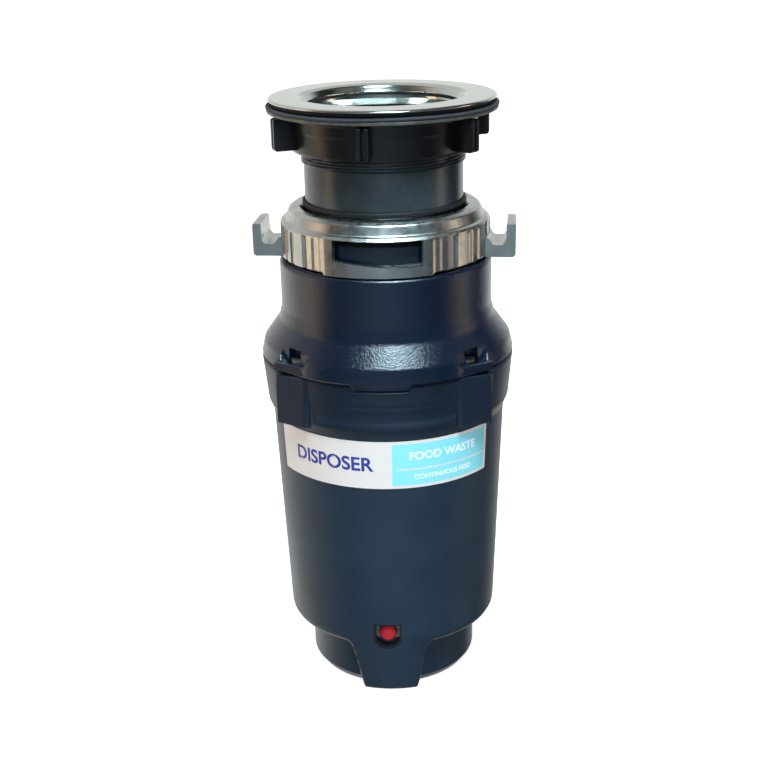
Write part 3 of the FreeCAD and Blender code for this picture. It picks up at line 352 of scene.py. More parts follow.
def piece_from(name, points, faces, finish, sharp=35):
    """Make a piece from points in millimetres and faces, all of them turned outwards."""
    points = np.asarray(points, float).reshape(-1, 3)
    mesh = bpy.data.meshes.new(name)
    corners = [[int(index) for index in face] for face in faces]
    mesh.from_pydata((points * MM).tolist(), [], corners)
    skin = bmesh.new()
    skin.from_mesh(mesh)
    bmesh.ops.recalc_face_normals(skin, faces=skin.faces)
    skin.to_mesh(mesh)
    skin.free()
    mesh.shade_smooth()
    mesh.set_sharp_from_angle(angle=math.radians(sharp))
    mesh.materials.append(finish)
    piece = bpy.data.objects.new(name, mesh)
    scene.collection.objects.link(piece)
    return piece


def swept(radius, height, phi):
    """Place radii and heights round the axis: phi is in degrees from the front, and grows
    towards the right, so x = r sin(phi) and y = -r cos(phi)."""
    turn = np.radians(phi)
    return np.stack([radius * np.sin(turn), -radius * np.cos(turn), height], -1)


def lathe(name, outer, inner, finish, columns=160, relief=None, sharp=35):
    """Turn an outer and an inner outline into one closed skin.

    Row i, column j lies at angle phi_j on outline point i. relief(radius, height, phi,
    run) moves the outer points; run is the length in millimetres along the outer outline.
    """
    phi = np.linspace(-180, 180, columns, endpoint=False)[None, :]
    radius = np.repeat(outer[:, :1], columns, 1)
    height = np.repeat(outer[:, 1:], columns, 1)
    if relief:
        steps = np.linalg.norm(np.diff(outer, axis=0), axis=1)
        run = np.concatenate([[0], np.cumsum(steps)])[:, None]
        radius, height = relief(radius, height, phi, run)
    radius = np.concatenate([radius, np.repeat(inner[:, :1], columns, 1)])
    height = np.concatenate([height, np.repeat(inner[:, 1:], columns, 1)])
    points = swept(radius, height, phi)
    return piece_from(name, points, woven(len(points), columns, True), finish, sharp)


def loft(name, loops, finish, sharp=35):
    """Skin a stack of closed loops, each with as many points, and close both ends."""
    loops = np.asarray(loops, float)
    count, around = loops.shape[:2]
    faces = woven(count, around, False).tolist()
    faces.append(list(range(around))[::-1])
    faces.append([(count - 1) * around + index for index in range(around)])
    return piece_from(name, loops, faces, finish, sharp)


def carve(piece, cutters, sharp=35):
    """Cut solids out of a piece and keep the result as its own mesh."""
    for cutter in cutters:
        tool = piece.modifiers.new("carve", "BOOLEAN")
        tool.operation = "DIFFERENCE"
        tool.solver = "MANIFOLD"
        tool.object = cutter
    seen = bpy.context.evaluated_depsgraph_get()
    carved = bpy.data.meshes.new_from_object(piece.evaluated_get(seen))
    piece.modifiers.clear()
    piece.data = carved
    carved.name = piece.name
    carved.shade_smooth()
    carved.set_sharp_from_angle(angle=math.radians(sharp))
    for cutter in cutters:
        bpy.data.objects.remove(cutter)


def fit(piece, body, slot, *nodes):
    """Hang a piece on its body and hide the model's parts that it stands for; slot is not used.
    """
    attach(piece, body)
    if nodes:
        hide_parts(*nodes)
    return piece


def rounded_box(across, up, half_across, half_up, rounding):
    """Signed distance from a point to a rectangle with rounded corners, negative inside:
    the distance past the inner rectangle, less the rounding."""
    past_x = np.abs(across) - half_across + rounding
    past_y = np.abs(up) - half_up + rounding
    outside = np.hypot(np.maximum(past_x, 0), np.maximum(past_y, 0))
    return outside + np.minimum(np.maximum(past_x, past_y), 0) - rounding


seam = top_of("lower_shell")
body_radius = reach_of("lower_shell")
foot_radius = 45.0
can_foot = 56.3
can_top = 61.4
step_up = 30.0
collar_foot = 63.9
shell_outer = spaced(outline([
    (foot_radius - 6, 0.8, 0),
    (foot_radius - 6, 0, 0.4),
    (foot_radius - 3.4, 0, 1.2),
    (foot_radius, 4.6, 2.6),
    (foot_radius, step_up, 2.2),
    (can_foot, step_up, 4.9),
    (can_top, 150.5, 2.5),
    (collar_foot, 156.5, 4),
    (body_radius, seam - 1.3, 0.8),
    (body_radius - 0.9, seam, 0.4),
    (body_radius - 2.6, seam, 0),
]), 1.05)
shell_inner = spaced(outline([
    (body_radius - 2.8, seam, 0),
    (body_radius - 4.8, seam - 1, 0.5),
    (can_top - 3, 148, 2),
    (can_foot - 3, step_up + 3, 3),
    (foot_radius - 3, step_up + 3, 1),
    (foot_radius - 3, 1.2, 0),
]), 6.0)
chin_top = step_up + 5.2
chin_low_half = 15.2
chin_high_half = 22.6
chin_turn = 0.9
chin_reach = 49.2
boss_middle = 45.0
boss_half = 8.0
boss_foot = 153.4
boss_normal = 31.0
boss_flat = 64.3
panel_middle = 181.0
panel_half_across = 43.8
panel_half_up = 22.6
panel_round = 8.0
panel_depth = 1.7
ridge_levels = (170.8, 167.0)
ridge_height = 0.35
groove_depth = 1.6
tab_half = 12.6
tab_drop = 2.2


def hang_tab(height, phi, foot, fade):
    """Lower a rim by the locating tab's drop at the front, fading out over a height."""
    across = 1 - ramp(np.abs(phi), tab_half - 0.5, tab_half + 0.5)
    return height - tab_drop * across * ramp(height, foot - fade, foot)


def from_boss(phi):
    """Angle from the middle of the nearest screw boss."""
    return np.minimum(np.abs(np.abs(phi) - boss_middle),
                      np.abs(np.abs(phi) - 180 + boss_middle))


def boss_face(phi):
    """A boss's flat face, turned a little towards the front: the radius is its distance from
    the axis over the cosine of the angle from the foot of that distance."""
    return boss_flat / np.cos(np.radians(np.abs(np.abs(phi) - 90) - 90 + boss_normal))


def shell_relief(radius, height, phi, run):
    """Raise the chin, and shape the collar: a sunk front panel with round lower corners and
    two fine ridges, a groove at the outer side of each boss, and the notch for the tab."""
    chin_rows = (height < chin_top) & (run > 3)
    chin_end = run[np.argmax(height[:, 0] >= chin_top)]
    share = np.clip((run - 5) / (chin_end - 5), 0, 1)
    chin_radius = chin_reach + (can_foot - chin_reach) * share
    chin_radius = chin_radius - 0.7 * (1 - ramp(share, 0, 0.03))
    chin_height = chin_top * share
    half = chin_low_half + (chin_high_half - chin_low_half) * share
    across = np.abs(chin_radius * np.sin(np.radians(phi - chin_turn)))
    inside = (1 - ramp(across, half - 1.5, half + 2.5)) * (np.abs(phi) < 60)
    inside = inside * chin_rows * ramp(run, 3, 5)
    radius = radius + (chin_radius - radius) * inside
    height = height + (chin_height - height) * inside
    collar = ramp(height, 154, 158)
    width = np.radians(np.abs(phi)) * body_radius
    panel = rounded_box(width, height - panel_middle, panel_half_across, panel_half_up,
                        panel_round)
    sunk = 1 - ramp(panel, -3.4, 0.6)
    radius = radius - panel_depth * sunk * ramp(height, 150, 154)
    ridges = sum(1 - ramp(np.abs(height - level), 0.2, 0.9) for level in ridge_levels)
    radius = radius + ridge_height * sunk * ridges
    away = from_boss(phi)
    groove = plateau(away, boss_half + 0.6, boss_half + 1.9, 0.6) * (1 - sunk)
    radius = radius - groove_depth * groove * collar
    crown = 1 - ramp(away, boss_half - 0.4, boss_half + 0.7)
    crown = crown * ramp(height, boss_foot - 0.8, boss_foot) * (run > 60)
    face = boss_face(np.clip(phi, -180, 180))
    radius = radius + (face - radius) * crown * (1 - ramp(height, seam - 1.3, seam))
    return radius, hang_tab(height, phi, seam - 1, 3)


slate = moulded("slate_navy", paint(26, 42, 58), paint(30, 47, 64), 0.42, 0.55, 0.05)
slate_nodes = slate.node_tree.nodes
slate_links = slate.node_tree.links
# Painted shade: from 151 mm up, the collar's colour is multiplied darker to stand in for the
# shade on its slightly downward-facing surface.
slate_place = slate_nodes.new("ShaderNodeTexCoord")
slate_parts = slate_nodes.new("ShaderNodeSeparateXYZ")
collar_shade_share = slate_nodes.new("ShaderNodeMapRange")
collar_shade_share.inputs["From Min"].default_value = 151 * MM
collar_shade_share.inputs["From Max"].default_value = 156 * MM
collar_painted_shade = slate_nodes.new("ShaderNodeMix")
collar_painted_shade.data_type = "RGBA"
collar_painted_shade.blend_type = "MULTIPLY"
collar_painted_shade.inputs[7].default_value = (0.30, 0.42, 0.52, 1)
slate_colour = slate_nodes["Principled BSDF"].inputs["Base Color"]
slate_links.new(slate_place.outputs["Object"], slate_parts.inputs["Vector"])
slate_links.new(slate_parts.outputs["Z"], collar_shade_share.inputs["Value"])
slate_links.new(collar_shade_share.outputs["Result"], collar_painted_shade.inputs[0])
slate_links.new(slate_colour.links[0].from_socket, collar_painted_shade.inputs[6])
slate_links.new(collar_painted_shade.outputs[2], slate_colour)
shell = lathe("lower_shell_moulding", shell_outer, shell_inner, slate, 360, shell_relief, 50)


def arch_loop(half, low, high, steps=14):
    """Loop of a window with a flat top and a half-round foot, as (across, up)."""
    turn = np.linspace(math.pi, 2 * math.pi, steps)
    arc = np.stack([half * np.cos(turn), low + half + half * np.sin(turn)], 1)
    return np.concatenate([[(-half, high)], arc, [(half, high)]])


def arch_block(name, half, low, high, near, far, finish):
    """A bar with that window's section, from near to far along the front's -Y."""
    loop = arch_loop(half, low, high)
    ends = [np.stack([loop[:, 0], np.full(len(loop), -reach), loop[:, 1]], 1)
            for reach in (near, far)]
    return loft(name, ends, finish)


well_half = 7.5
well_low = 28.7
well_high = 44.5
well_cut = arch_block("well_cut", well_half, well_low, well_high, 49.8, 70, slate)


def box_block(name, low, high, finish):
    """A plain block between two corners, used to cut with."""
    (x0, y0, z0), (x1, y1, z1) = low, high
    loops = [[(x0, y0, z), (x1, y0, z), (x1, y1, z), (x0, y1, z)] for z in (z0, z1)]
    return loft(name, loops, finish)


spout_cut = box_block("spout_cut", (-20.5, 48, 139), (20.5, 75, 190), slate)
carve(shell, [well_cut, spout_cut], 50)
fit(shell, "root", "navy_satin", "lower_shell")

# ------------------------------------------------------------------ reset button
# A red push button in a black-lined pocket low on the front: it sits in the grey body of the
# overload protector, behind a moulded lining.
black = moulded("black_moulding", paint(20, 21, 25), paint(29, 30, 34), 0.42, 0.5, 0.04)
grey = moulded("grey_moulding", paint(92, 98, 102), paint(112, 117, 120), 0.5, 0.6, 0.05)
red = moulded("red_button", paint(168, 26, 38), paint(182, 36, 48), 0.2, 1.5, 0.02)
lining_outer = arch_loop(well_half - 0.06, well_low + 0.06, well_high - 0.06)
lining_inner = arch_loop(well_half - 1.1, well_low + 1.1, well_high - 1.1)
lining_back = 50.1


def can_radius_at(height):
    """The can's outer radius at a height on its straight taper, or the chin's below it."""
    taper = can_foot + (can_top - can_foot) * (height - step_up) / (150.5 - step_up)
    chin = chin_reach + (can_foot - chin_reach) * height / chin_top
    return np.where(height > chin_top, taper, chin)


def lining_ring(loop, sink):
    """Lay an arch loop on the shell's surface, sunk into it by a depth."""
    reach = np.sqrt(np.maximum(can_radius_at(loop[:, 1]) ** 2 - loop[:, 0] ** 2, 1)) - sink
    return np.stack([loop[:, 0], -reach, loop[:, 1]], 1)


def flat_ring(loop, reach):
    return np.stack([loop[:, 0], np.full(len(loop), -reach), loop[:, 1]], 1)


lining_loops = np.array([flat_ring(lining_outer, lining_back), lining_ring(lining_outer, 0.35),
                         lining_ring(lining_inner, 0.35), flat_ring(lining_inner, lining_back)])
lining = piece_from("reset_lining", lining_loops, woven(4, len(lining_outer), True), black)
fit(lining, "root", "black_plastic", "reset_bezel")


def turned_on_y(name, profile, height, finish, columns=48):
    """Turn an open profile of (radius, y) about a line along Y at a height, with a pole of
    one ring drawn to a point at each end where its radius is 0."""
    turn = np.linspace(0, 2 * math.pi, columns, endpoint=False)[None, :]
    radius = np.maximum(profile[:, :1], 0.02)
    points = np.stack([radius * np.cos(turn), np.repeat(profile[:, 1:], columns, 1),
                       height + radius * np.sin(turn)], -1)
    return loft(name, points, finish)


button_low, button_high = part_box("reset_button")
button_radius = (button_high[0] - button_low[0]) / 2 / MM
button_height = (button_high[2] + button_low[2]) / 2 / MM
button_face = button_low[1] / MM
button_back = button_high[1] / MM
button_profile = spaced(outline([
    (0, button_back, 0),
    (button_radius, button_back, 0.4),
    (button_radius, button_face + 1.5, 1.0),
    (button_radius - 1.3, button_face + 0.4, 1.5),
    (0, button_face, 0),
], 7), 0.6)
button = turned_on_y("reset_button_cap", button_profile, button_height, red)
fit(button, "reset", "red_plastic", "reset_button")

# ------------------------------------------------------------------ front label
# A printed film label wrapped round the front of the can: white to the left, blue-green to
# the right behind a white border, with plain lettering.
label_low, label_high = foot_of("front_label"), top_of("front_label")
label_half = 58.3
label_turn = -1.2
label_sheet = 0.3
label_split = 0.546


def on_can(across, up, lift):
    """Wrap flat label points round the can: across is in degrees from the front."""
    return swept(can_radius_at(up) + lift, up, across + label_turn)


def film(name):
    """Printed film: the split and the borders are steps of the piece's own UV, and the
    print has a faint mottle and a clear coat."""
    made = shade(name, paint(236, 238, 244), 0.30)
    made.node_tree.nodes["Principled BSDF"].inputs["Coat Weight"].default_value = 0.3
    nodes = made.node_tree.nodes
    links = made.node_tree.links
    place = nodes.new("ShaderNodeUVMap")
    place.uv_map = "label"
    parts = nodes.new("ShaderNodeSeparateXYZ")
    links.new(place.outputs["UV"], parts.inputs["Vector"])

    def step(operation, one, two):
        node = nodes.new("ShaderNodeMath")
        node.operation = operation
        for socket, value in zip(node.inputs, (one, two)):
            if isinstance(value, float):
                socket.default_value = value
            else:
                links.new(value, socket)
        return node.outputs["Value"]

    across = parts.outputs["X"]
    up = parts.outputs["Y"]
    panel = step("MULTIPLY", step("GREATER_THAN", across, label_split),
                 step("LESS_THAN", across, 0.985))
    panel = step("MULTIPLY", panel, step("GREATER_THAN", up, 0.06))
    panel = step("MULTIPLY", panel, step("LESS_THAN", up, 0.94))
    rule = step("MULTIPLY", step("GREATER_THAN", up, 0.385), step("LESS_THAN", up, 0.415))
    rule = step("MULTIPLY", rule, step("GREATER_THAN", across, label_split + 0.02))
    printed = step("MULTIPLY", panel, step("SUBTRACT", 1.0, rule))
    mottle = noise_into(made, 160, 3, "print_mottle")
    tone = nodes.new("ShaderNodeValToRGB")
    tone.color_ramp.elements[0].color = (*paint(136, 220, 232), 1)
    tone.color_ramp.elements[1].color = (*paint(146, 227, 238), 1)
    links.new(mottle.outputs["Fac"], tone.inputs["Fac"])
    mix = nodes.new("ShaderNodeMix")
    mix.data_type = "RGBA"
    links.new(printed, mix.inputs[0])
    mix.inputs[6].default_value = (*paint(229, 219, 215), 1)
    links.new(tone.outputs["Color"], mix.inputs[7])
    links.new(mix.outputs[2], nodes["Principled BSDF"].inputs["Base Color"])
    return made


label_columns, label_rows = 120, 10
label_count = label_columns * label_rows
label_across, label_up = np.meshgrid(np.linspace(-label_half, label_half, label_columns),
                                     np.linspace(label_low, label_high, label_rows))
label_points = np.concatenate([on_can(label_across, label_up, lift).reshape(-1, 3)
                               for lift in (label_sheet, 0.02)])
order = np.arange(label_count).reshape(label_rows, label_columns)
cells = np.stack([order[:-1, :-1], order[:-1, 1:], order[1:, 1:], order[1:, :-1]],
                 -1).reshape(-1, 4)
rim = np.concatenate([order[0], order[1:, -1], order[-1, -2::-1], order[-2:0:-1, 0]])
next_rim = np.roll(rim, -1)
rim_faces = np.stack([rim, rim + label_count, next_rim + label_count, next_rim], 1)
label_faces = np.concatenate([cells, cells[:, ::-1] + label_count, rim_faces])
label = piece_from("label_film", label_points, label_faces, film("label_print"))
label_uv = label.data.uv_layers.new(name="label")
vertex_uv = np.concatenate([np.stack([
    (label_across.reshape(-1) + label_half) / (2 * label_half),
    (label_up.reshape(-1) - label_low) / (label_high - label_low)], 1)] * 2)
corner_vertex = np.empty(len(label.data.loops), dtype=np.int32)
label.data.loops.foreach_get("vertex_index", corner_vertex)
label_uv.data.foreach_set("uv", vertex_uv[corner_vertex].astype(np.float32).reshape(-1))
fit(label, "root", "label", "front_label")


def lettering(name, words, height, centre_share, centre_up, finish):
    """Cut words out of thin film: each flat letter point goes round the can at the
    angle that its distance along the line spans."""
    text = bpy.data.curves.new(name, "FONT")
    text.body = words
    text.size = height
    text.align_x = "CENTER"
    text.align_y = "CENTER"
    text.extrude = 0.04
    text.offset = 0.022 * height
    carrier = bpy.data.objects.new(name + "_text", text)
    scene.collection.objects.link(carrier)
    seen = bpy.context.evaluated_depsgraph_get()
    mesh = bpy.data.meshes.new_from_object(carrier.evaluated_get(seen))
    bpy.data.objects.remove(carrier)
    flat = np.empty(len(mesh.vertices) * 3)
    mesh.vertices.foreach_get("co", flat)
    flat = flat.reshape(-1, 3)
    around = -label_half + 2 * label_half * centre_share
    up = label_low + (label_high - label_low) * centre_up + flat[:, 1]
    angle = around + np.degrees(flat[:, 0] / can_radius_at(up))
    placed = on_can(angle, up, label_sheet + 0.02 + flat[:, 2]) * MM
    mesh.vertices.foreach_set("co", placed.reshape(-1))
    mesh.update()
    mesh.materials.append(finish)
    piece = bpy.data.objects.new(name, mesh)
    scene.collection.objects.link(piece)
    return fit(piece, "root", "label")


blue_ink = moulded("blue_ink", paint(44, 54, 140), paint(50, 62, 150), 0.35, 1.0, 0.004)
white_ink = moulded("white_ink", paint(238, 244, 250), paint(246, 250, 252), 0.35, 1.0, 0.004)
lettering("label_word_white_side", "DISPOSER", 10.4, 0.285, 0.50, blue_ink)
lettering("label_word_upper", "FOOD WASTE", 6.0, 0.77, 0.67, white_ink)
lettering("label_word_lower", "CONTINUOUS FEED", 3.6, 0.77, 0.225, white_ink)

# ------------------------------------------------------------------ hopper
# The glossy navy grinding hopper, moulded with a lively orange-peel surface: a straight barrel
# that flares to the seam, a pocket over each housing screw and a hose nipple at the back.
hopper_foot = foot_of("hopper")
hopper_top = top_of("hopper")
barrel = 54.7
shoulder = foot_of("mount_ring") - 0.2
neck_outer = 49.2
lug_top = 185.6
lug_blend = 191.0
hopper_outer = spaced(outline([
    (body_radius - 2.6, hopper_foot + 0.6, 0),
    (body_radius - 0.9, hopper_foot + 0.6, 0.3),
    (body_radius, hopper_foot + 1.8, 0.8),
    (body_radius - 1.6, 188.4, 5),
    (barrel + 1.5, 199.6, 7),
    (barrel, 206, 9),
    (barrel, shoulder, 2.2),
    (neck_outer, shoulder, 0.8),
    (neck_outer, hopper_top, 0.6),
    (48, hopper_top, 0),
]), 0.7)
hopper_inner = spaced(outline([
    (48, hopper_top - 0.2, 0),
    (48, 240, 0.3),
    (38, 240, 0.3),
    (38, 230, 2),
    (50.7, 216, 3),
    (50.7, 183.5, 0.3),
    (63.2, 183.5, 0.3),
    (63.2, hopper_foot + 0.5, 0),
]), 5.0)


def hopper_relief(radius, height, phi, run):
    """Hang the locating tab from the rim at the front, and stand a flat-faced lug with a
    level top over each boss."""
    lug = 1 - ramp(from_boss(phi), boss_half - 0.4, boss_half + 0.7)
    face = boss_face(phi)
    flare = np.argmax(height[:, 0] > lug_blend)
    top = np.clip((height - lug_top) / (lug_blend - lug_top), 0, 1)
    lug_radius = face + (radius[flare] - face) * top
    lug_height = np.minimum(height, lug_top + 0.6 * top)
    lug = lug * (height < lug_blend) * ramp(height, hopper_foot + 0.4, hopper_foot + 1.6)
    radius = radius + (lug_radius - radius) * lug
    height = height + (lug_height - height) * lug
    across = 1 - ramp(np.abs(phi), tab_half - 0.5, tab_half + 0.5)
    drop = (tab_drop + 0.1) * across * (1 - ramp(height, hopper_foot + 0.5, hopper_foot + 3))
    inset = 0.25 * across * (1 - ramp(height, hopper_foot + 1, hopper_foot + 4))
    return radius - inset, height - drop


navy = moulded("navy_gloss", paint(3, 17, 34), paint(6, 22, 41), 0.21, 0.75, 0.2)
navy.node_tree.nodes["Principled BSDF"].inputs["IOR"].default_value = 1.62
peel = noise_into(navy, 1300, 2, "orange_peel")
emboss(navy, peel.outputs["Fac"], 0.7, 0.24 * MM)
hopper = lathe("hopper_moulding", hopper_outer, hopper_inner, navy, 240, hopper_relief)


def upright_bar(name, radius, circle, phi, low, high, finish, steps=24):
    """An upright round bar on a circle, at an angle from the front."""
    turn = np.linspace(0, 2 * math.pi, steps, endpoint=False)
    centre = swept(circle, 0.0, phi)
    ring = np.stack([centre[0] + radius * np.cos(turn), centre[1] + radius * np.sin(turn)], 1)
    loops = [np.column_stack([ring, np.full(steps, height)]) for height in (low, high)]
    return loft(name, loops, finish)


screw_angles = (45, 135, -45, -135)
screw_circle = 59.9
pockets = [upright_bar(f"pocket_{angle}", 5.2, screw_circle, angle, 184.8, 192.6, navy)
           for angle in screw_angles]
carve(hopper, pockets)
nipple_height = 212.0
nipple_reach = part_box("hopper")[1][1] / MM
nipple_profile = spaced(outline([
    (8.5, 48, 0), (14.6, 48, 0), (14.6, 60, 1.2), (11.1, 60, 0.6),
    (11.1, nipple_reach - 5, 0.6), (11.7, nipple_reach - 3.6, 0.5),
    (10.4, nipple_reach, 0.6), (8.5, nipple_reach, 0.5), (8.5, 47, 0),
]), 2.5)
turn = np.linspace(0, 2 * math.pi, 48, endpoint=False)[None, :]
nipple_points = np.stack([nipple_profile[:, :1] * np.cos(turn),
                          np.repeat(nipple_profile[:, 1:], 48, 1),
                          nipple_height + nipple_profile[:, :1] * np.sin(turn)], -1)
nipple = piece_from("hopper_hose_nipple", nipple_points,
                    woven(len(nipple_profile), 48, True), navy)
fit(hopper, "root", "navy_gloss", "hopper")
fit(nipple, "root", "navy_gloss")

# ------------------------------------------------------------------ mount ring
# A die-cast zinc locking ring: three framed windows under its bayonet lips, upright flutes
# between them, and two hooked ears for the turning tool.
zinc = shade("cast_zinc", paint(196, 196, 192), 0.28, 1.0)
zinc_cloud = noise_into(zinc, 90, 2, "casting_cloud")
tint(zinc, zinc_cloud.outputs["Fac"], (paint(184, 186, 184), paint(198, 199, 196)))
zinc_rough = noise_into(zinc, 240, 3, "tumbling")
vary(zinc, "Roughness", zinc_rough.outputs["Fac"], 0.24, 0.38)
zinc_skin = noise_into(zinc, 900, 3, "casting_skin")
emboss(zinc, zinc_skin.outputs["Fac"], 0.25, 0.06 * MM)
ring_foot = foot_of("mount_ring")
ring_top = top_of("mount_ring")
ring_wall = 53.4
ring_outer = spaced(outline([
    (50.4, ring_foot + 0.6, 0),
    (50.6, ring_foot + 0.2, 0.2),
    (ring_wall, ring_foot + 0.2, 0.6),
    (ring_wall, 249.8, 0.7),
    (52.4, 250.9, 0.7),
    (50.9, 251.5, 1.2),
    (48.9, 256.2, 1.6),
    (46.9, ring_top, 1.1),
    (43.0, ring_top, 0),
]), 0.6)
ring_inner = spaced(outline([
    (42.4, ring_top, 0),
    (41.3, ring_top - 0.6, 0.4),
    (41.3, 252, 0.2),
    (46.2, 252, 0.2),
    (46.2, 249.4, 0.2),
    (51.3, 249.4, 0.2),
    (51.3, 235, 0.2),
    (49.7, 235, 0.2),
    (49.7, ring_foot + 0.4, 0.2),
    (50.2, ring_foot + 0.4, 0),
]), 3.0)
window_middles = (0, 120, -120)
ring_turn = 1.2


def from_window(phi):
    """Signed angle from the nearest window's middle."""
    return (phi + 60 + ring_turn) % 120 - 60


def ring_relief(radius, height, phi, run):
    """Frame each window with a proud panel that also hangs lower, and groove the wall
    between the windows with narrow upright flutes."""
    away = from_window(phi)
    frame_share = 1 - ramp(np.abs(away), 29.6, 31.0)
    wall = plateau(height, ring_foot - 2, 249.4, 1.2) * ramp(radius, 51, 52.5)
    radius = radius + 0.6 * frame_share * wall
    lift = 1.3 * (1 - frame_share) * (1 - ramp(height, ring_foot + 1, ring_foot + 5))
    height = height + lift
    flutes = sum(depth * (1 - ramp(np.abs(np.abs(away) - angle), 0.8, 1.7))
                 for angle, depth in ((36.0, 0.3), (44.0, 1.0), (56.0, 0.6)))
    return radius - 1.1 * flutes * wall * (1 - frame_share), height


ring_piece = lathe("mount_ring_casting", ring_outer, ring_inner, zinc, 360, ring_relief, 30)


def curved_bar(name, phi, near, far, low, high, finish):
    """A bar bent round the axis through the angles phi, between two radii and two heights;
    the lower height may differ from angle to angle."""
    low = np.broadcast_to(low, phi.shape)
    high = np.broadcast_to(high, phi.shape)
    corners = ((near, low), (far, low), (far, high), (near, high))
    loops = np.stack([swept(radius, height, phi) for radius, height in corners], 1)
    return loft(name, loops, finish)


def window_cut(name, middle):
    """A curved cutter for one window: its floor slopes evenly down like the bayonet's ramp,
    then runs level past a small bump."""
    away = np.linspace(-24, 24, 60)
    floor_height = 236.7 + 2.6 * (7 - np.minimum(away, 7)) / 31
    floor_height = floor_height + 0.8 * (1 - ramp(np.abs(away - 8.5), 0.3, 1.8))
    return curved_bar(name, away + middle, 49.0, 60.0, floor_height, 249.5, zinc)


def notch_cut(name, middle):
    """A curved cutter for the gap in the top lip that lets one bayonet tab through."""
    return curved_bar(name, np.linspace(-23, 23, 30) + middle, 38.0, 43.4, 251.2, 262.0, zinc)


cutters = [window_cut(f"window_{middle}", middle - ring_turn) for middle in window_middles]
cutters += [notch_cut(f"notch_{middle}", middle + 60) for middle in window_middles]
carve(ring_piece, cutters, 30)
ear_turn = 3.0
ear_half = 12.0
ear_ends = ((ear_half, 0.955), (ear_half - 0.7, 0.99), (ear_half - 1.8, 1.0))
ear_section = outline([
    (51.6, 232.2, 0), (51.6, 231.6, 0.3), (67.2, 231.6, 1.8), (67.2, 249.0, 1.4),
    (62.6, 249.0, 0.8), (62.6, 240.4, 2.6), (60.8, 238.0, 2.0), (55.6, 238.0, 2.2),
    (53.4, 241.6, 1.6), (51.6, 242.4, 0.3), (51.6, 240.0, 0),
], 5)


def bearings(phi):
    """Unit vectors in plan at an angle from the front: away from the axis, and sideways."""
    turn = math.radians(phi)
    return (np.array([math.sin(turn), -math.cos(turn)]),
            np.array([math.cos(turn), math.sin(turn)]))


def ear(name, phi):
    """A hooked ear: its section, drawn in (radius, height), is carried straight across and
    drawn in a little at both ends, so that the casting's edges are soft."""
    middle = ear_section.mean(0)
    out, side = bearings(phi)
    loops = []
    for across, share in [(-half, share) for half, share in ear_ends] + list(ear_ends[::-1]):
        section = middle + (ear_section - middle) * share
        flat = section[:, :1] * out + across * side
        loops.append(np.column_stack([flat, section[:, 1]]))
    return loft(name, loops, zinc)


ears = [ear("mount_ring_ear_right", 90 - ear_turn), ear("mount_ring_ear_left", -90 - ear_turn)]
fit(ring_piece, "lock_ring", "cast_zinc", "mount_ring")
for hook in ears:
    fit(hook, "lock_ring", "cast_zinc")

# ------------------------------------------------------------------ neck tube
# The plastic neck that drops through the sink: a glossy tube with a fine thread for the
# clamping nut, three bayonet tabs at its foot and a thin rubber lip above the ring.
neck_foot = foot_of("flange_neck")
neck_top = top_of("flange_neck")
neck_wall = 40.3
thread_crest = 41.6
thread_start = 279.6
thread_pitch = 3.0
neck_outer_line = spaced(outline([
    (36.7, neck_foot + 0.2, 0), (37.0, neck_foot, 0.2), (neck_wall, neck_foot, 0.4),
    (neck_wall, thread_start, 0), (thread_crest, thread_start + 0.5, 0),
    (thread_crest, neck_top - 0.5, 0.4), (thread_crest - 0.6, neck_top, 0.2), (39.0, neck_top, 0),
]), 0.4)
neck_inner_line = spaced(outline([
    (38.6, neck_top - 0.1, 0), (38.5, neck_top - 0.6, 0.1), (38.5, 283, 0.2), (36.5, 283, 0.4),
    (36.5, neck_foot + 0.6, 0),
]), 4.0)


def neck_relief(radius, height, phi, run):
    """Cut a right-hand thread: the depth follows a rounded saw of the height less the
    pitch times the turn."""
    wave = 0.5 + 0.5 * np.cos(2 * math.pi * (height / thread_pitch - phi / 360) * 2)
    threaded = ramp(height, thread_start + 0.3, thread_start + 0.9) * ramp(radius, 40.9, 41.2)
    return radius - 0.75 * wave ** 2 * threaded, height


tube_finish = moulded("neck_gloss", paint(36, 43, 47), paint(50, 60, 66), 0.24, 2.5, 0.03)
tube_wave = noise_into(tube_finish, 55, 2, "draw_marks", (1, 1, 2.5))
emboss(tube_finish, tube_wave.outputs["Fac"], 0.5, 0.5 * MM)
neck = lathe("neck_tube", neck_outer_line, neck_inner_line, tube_finish, 160, neck_relief)
fit(neck, "root", "neck_plastic", "flange_neck")
for middle in window_middles:
    tab = curved_bar(f"neck_tab_{middle}".replace("-", "m"), np.linspace(-20, 20, 24) + middle,
                     38.5, 45.5, neck_foot, neck_foot + 4, tube_finish)
    fit(tab, "root", "neck_plastic")


def washer(name, node, inner, rounding, finish, body, slot, relief=None, squeeze=(0, 0)):
    """A flat ring as wide as its part, with soft edges; squeeze moves its two faces up."""
    low, high = foot_of(node) + squeeze[0], top_of(node) + squeeze[1]
    reach = reach_of(node)
    outer = spaced(outline([
        (inner + 0.5, low, 0), (reach, low, rounding), (reach, high, rounding),
        (inner + 0.5, high, 0),
    ]), 1.5)
    inside = outline([(inner + 0.3, high, 0), (inner, high - 0.2, 0.1), (inner, low + 0.2, 0.1),
                      (inner + 0.3, low, 0)])
    made = lathe(name, outer, inside, finish, 160, relief)
    return fit(made, body, slot, node)


rubber = moulded("black_rubber", paint(17, 17, 19), paint(24, 24, 26), 0.62, 0.9, 0.06)
washer("neck_lip_seal", "neck_seal", 40.3, 0.9, rubber, "root", "rubber")

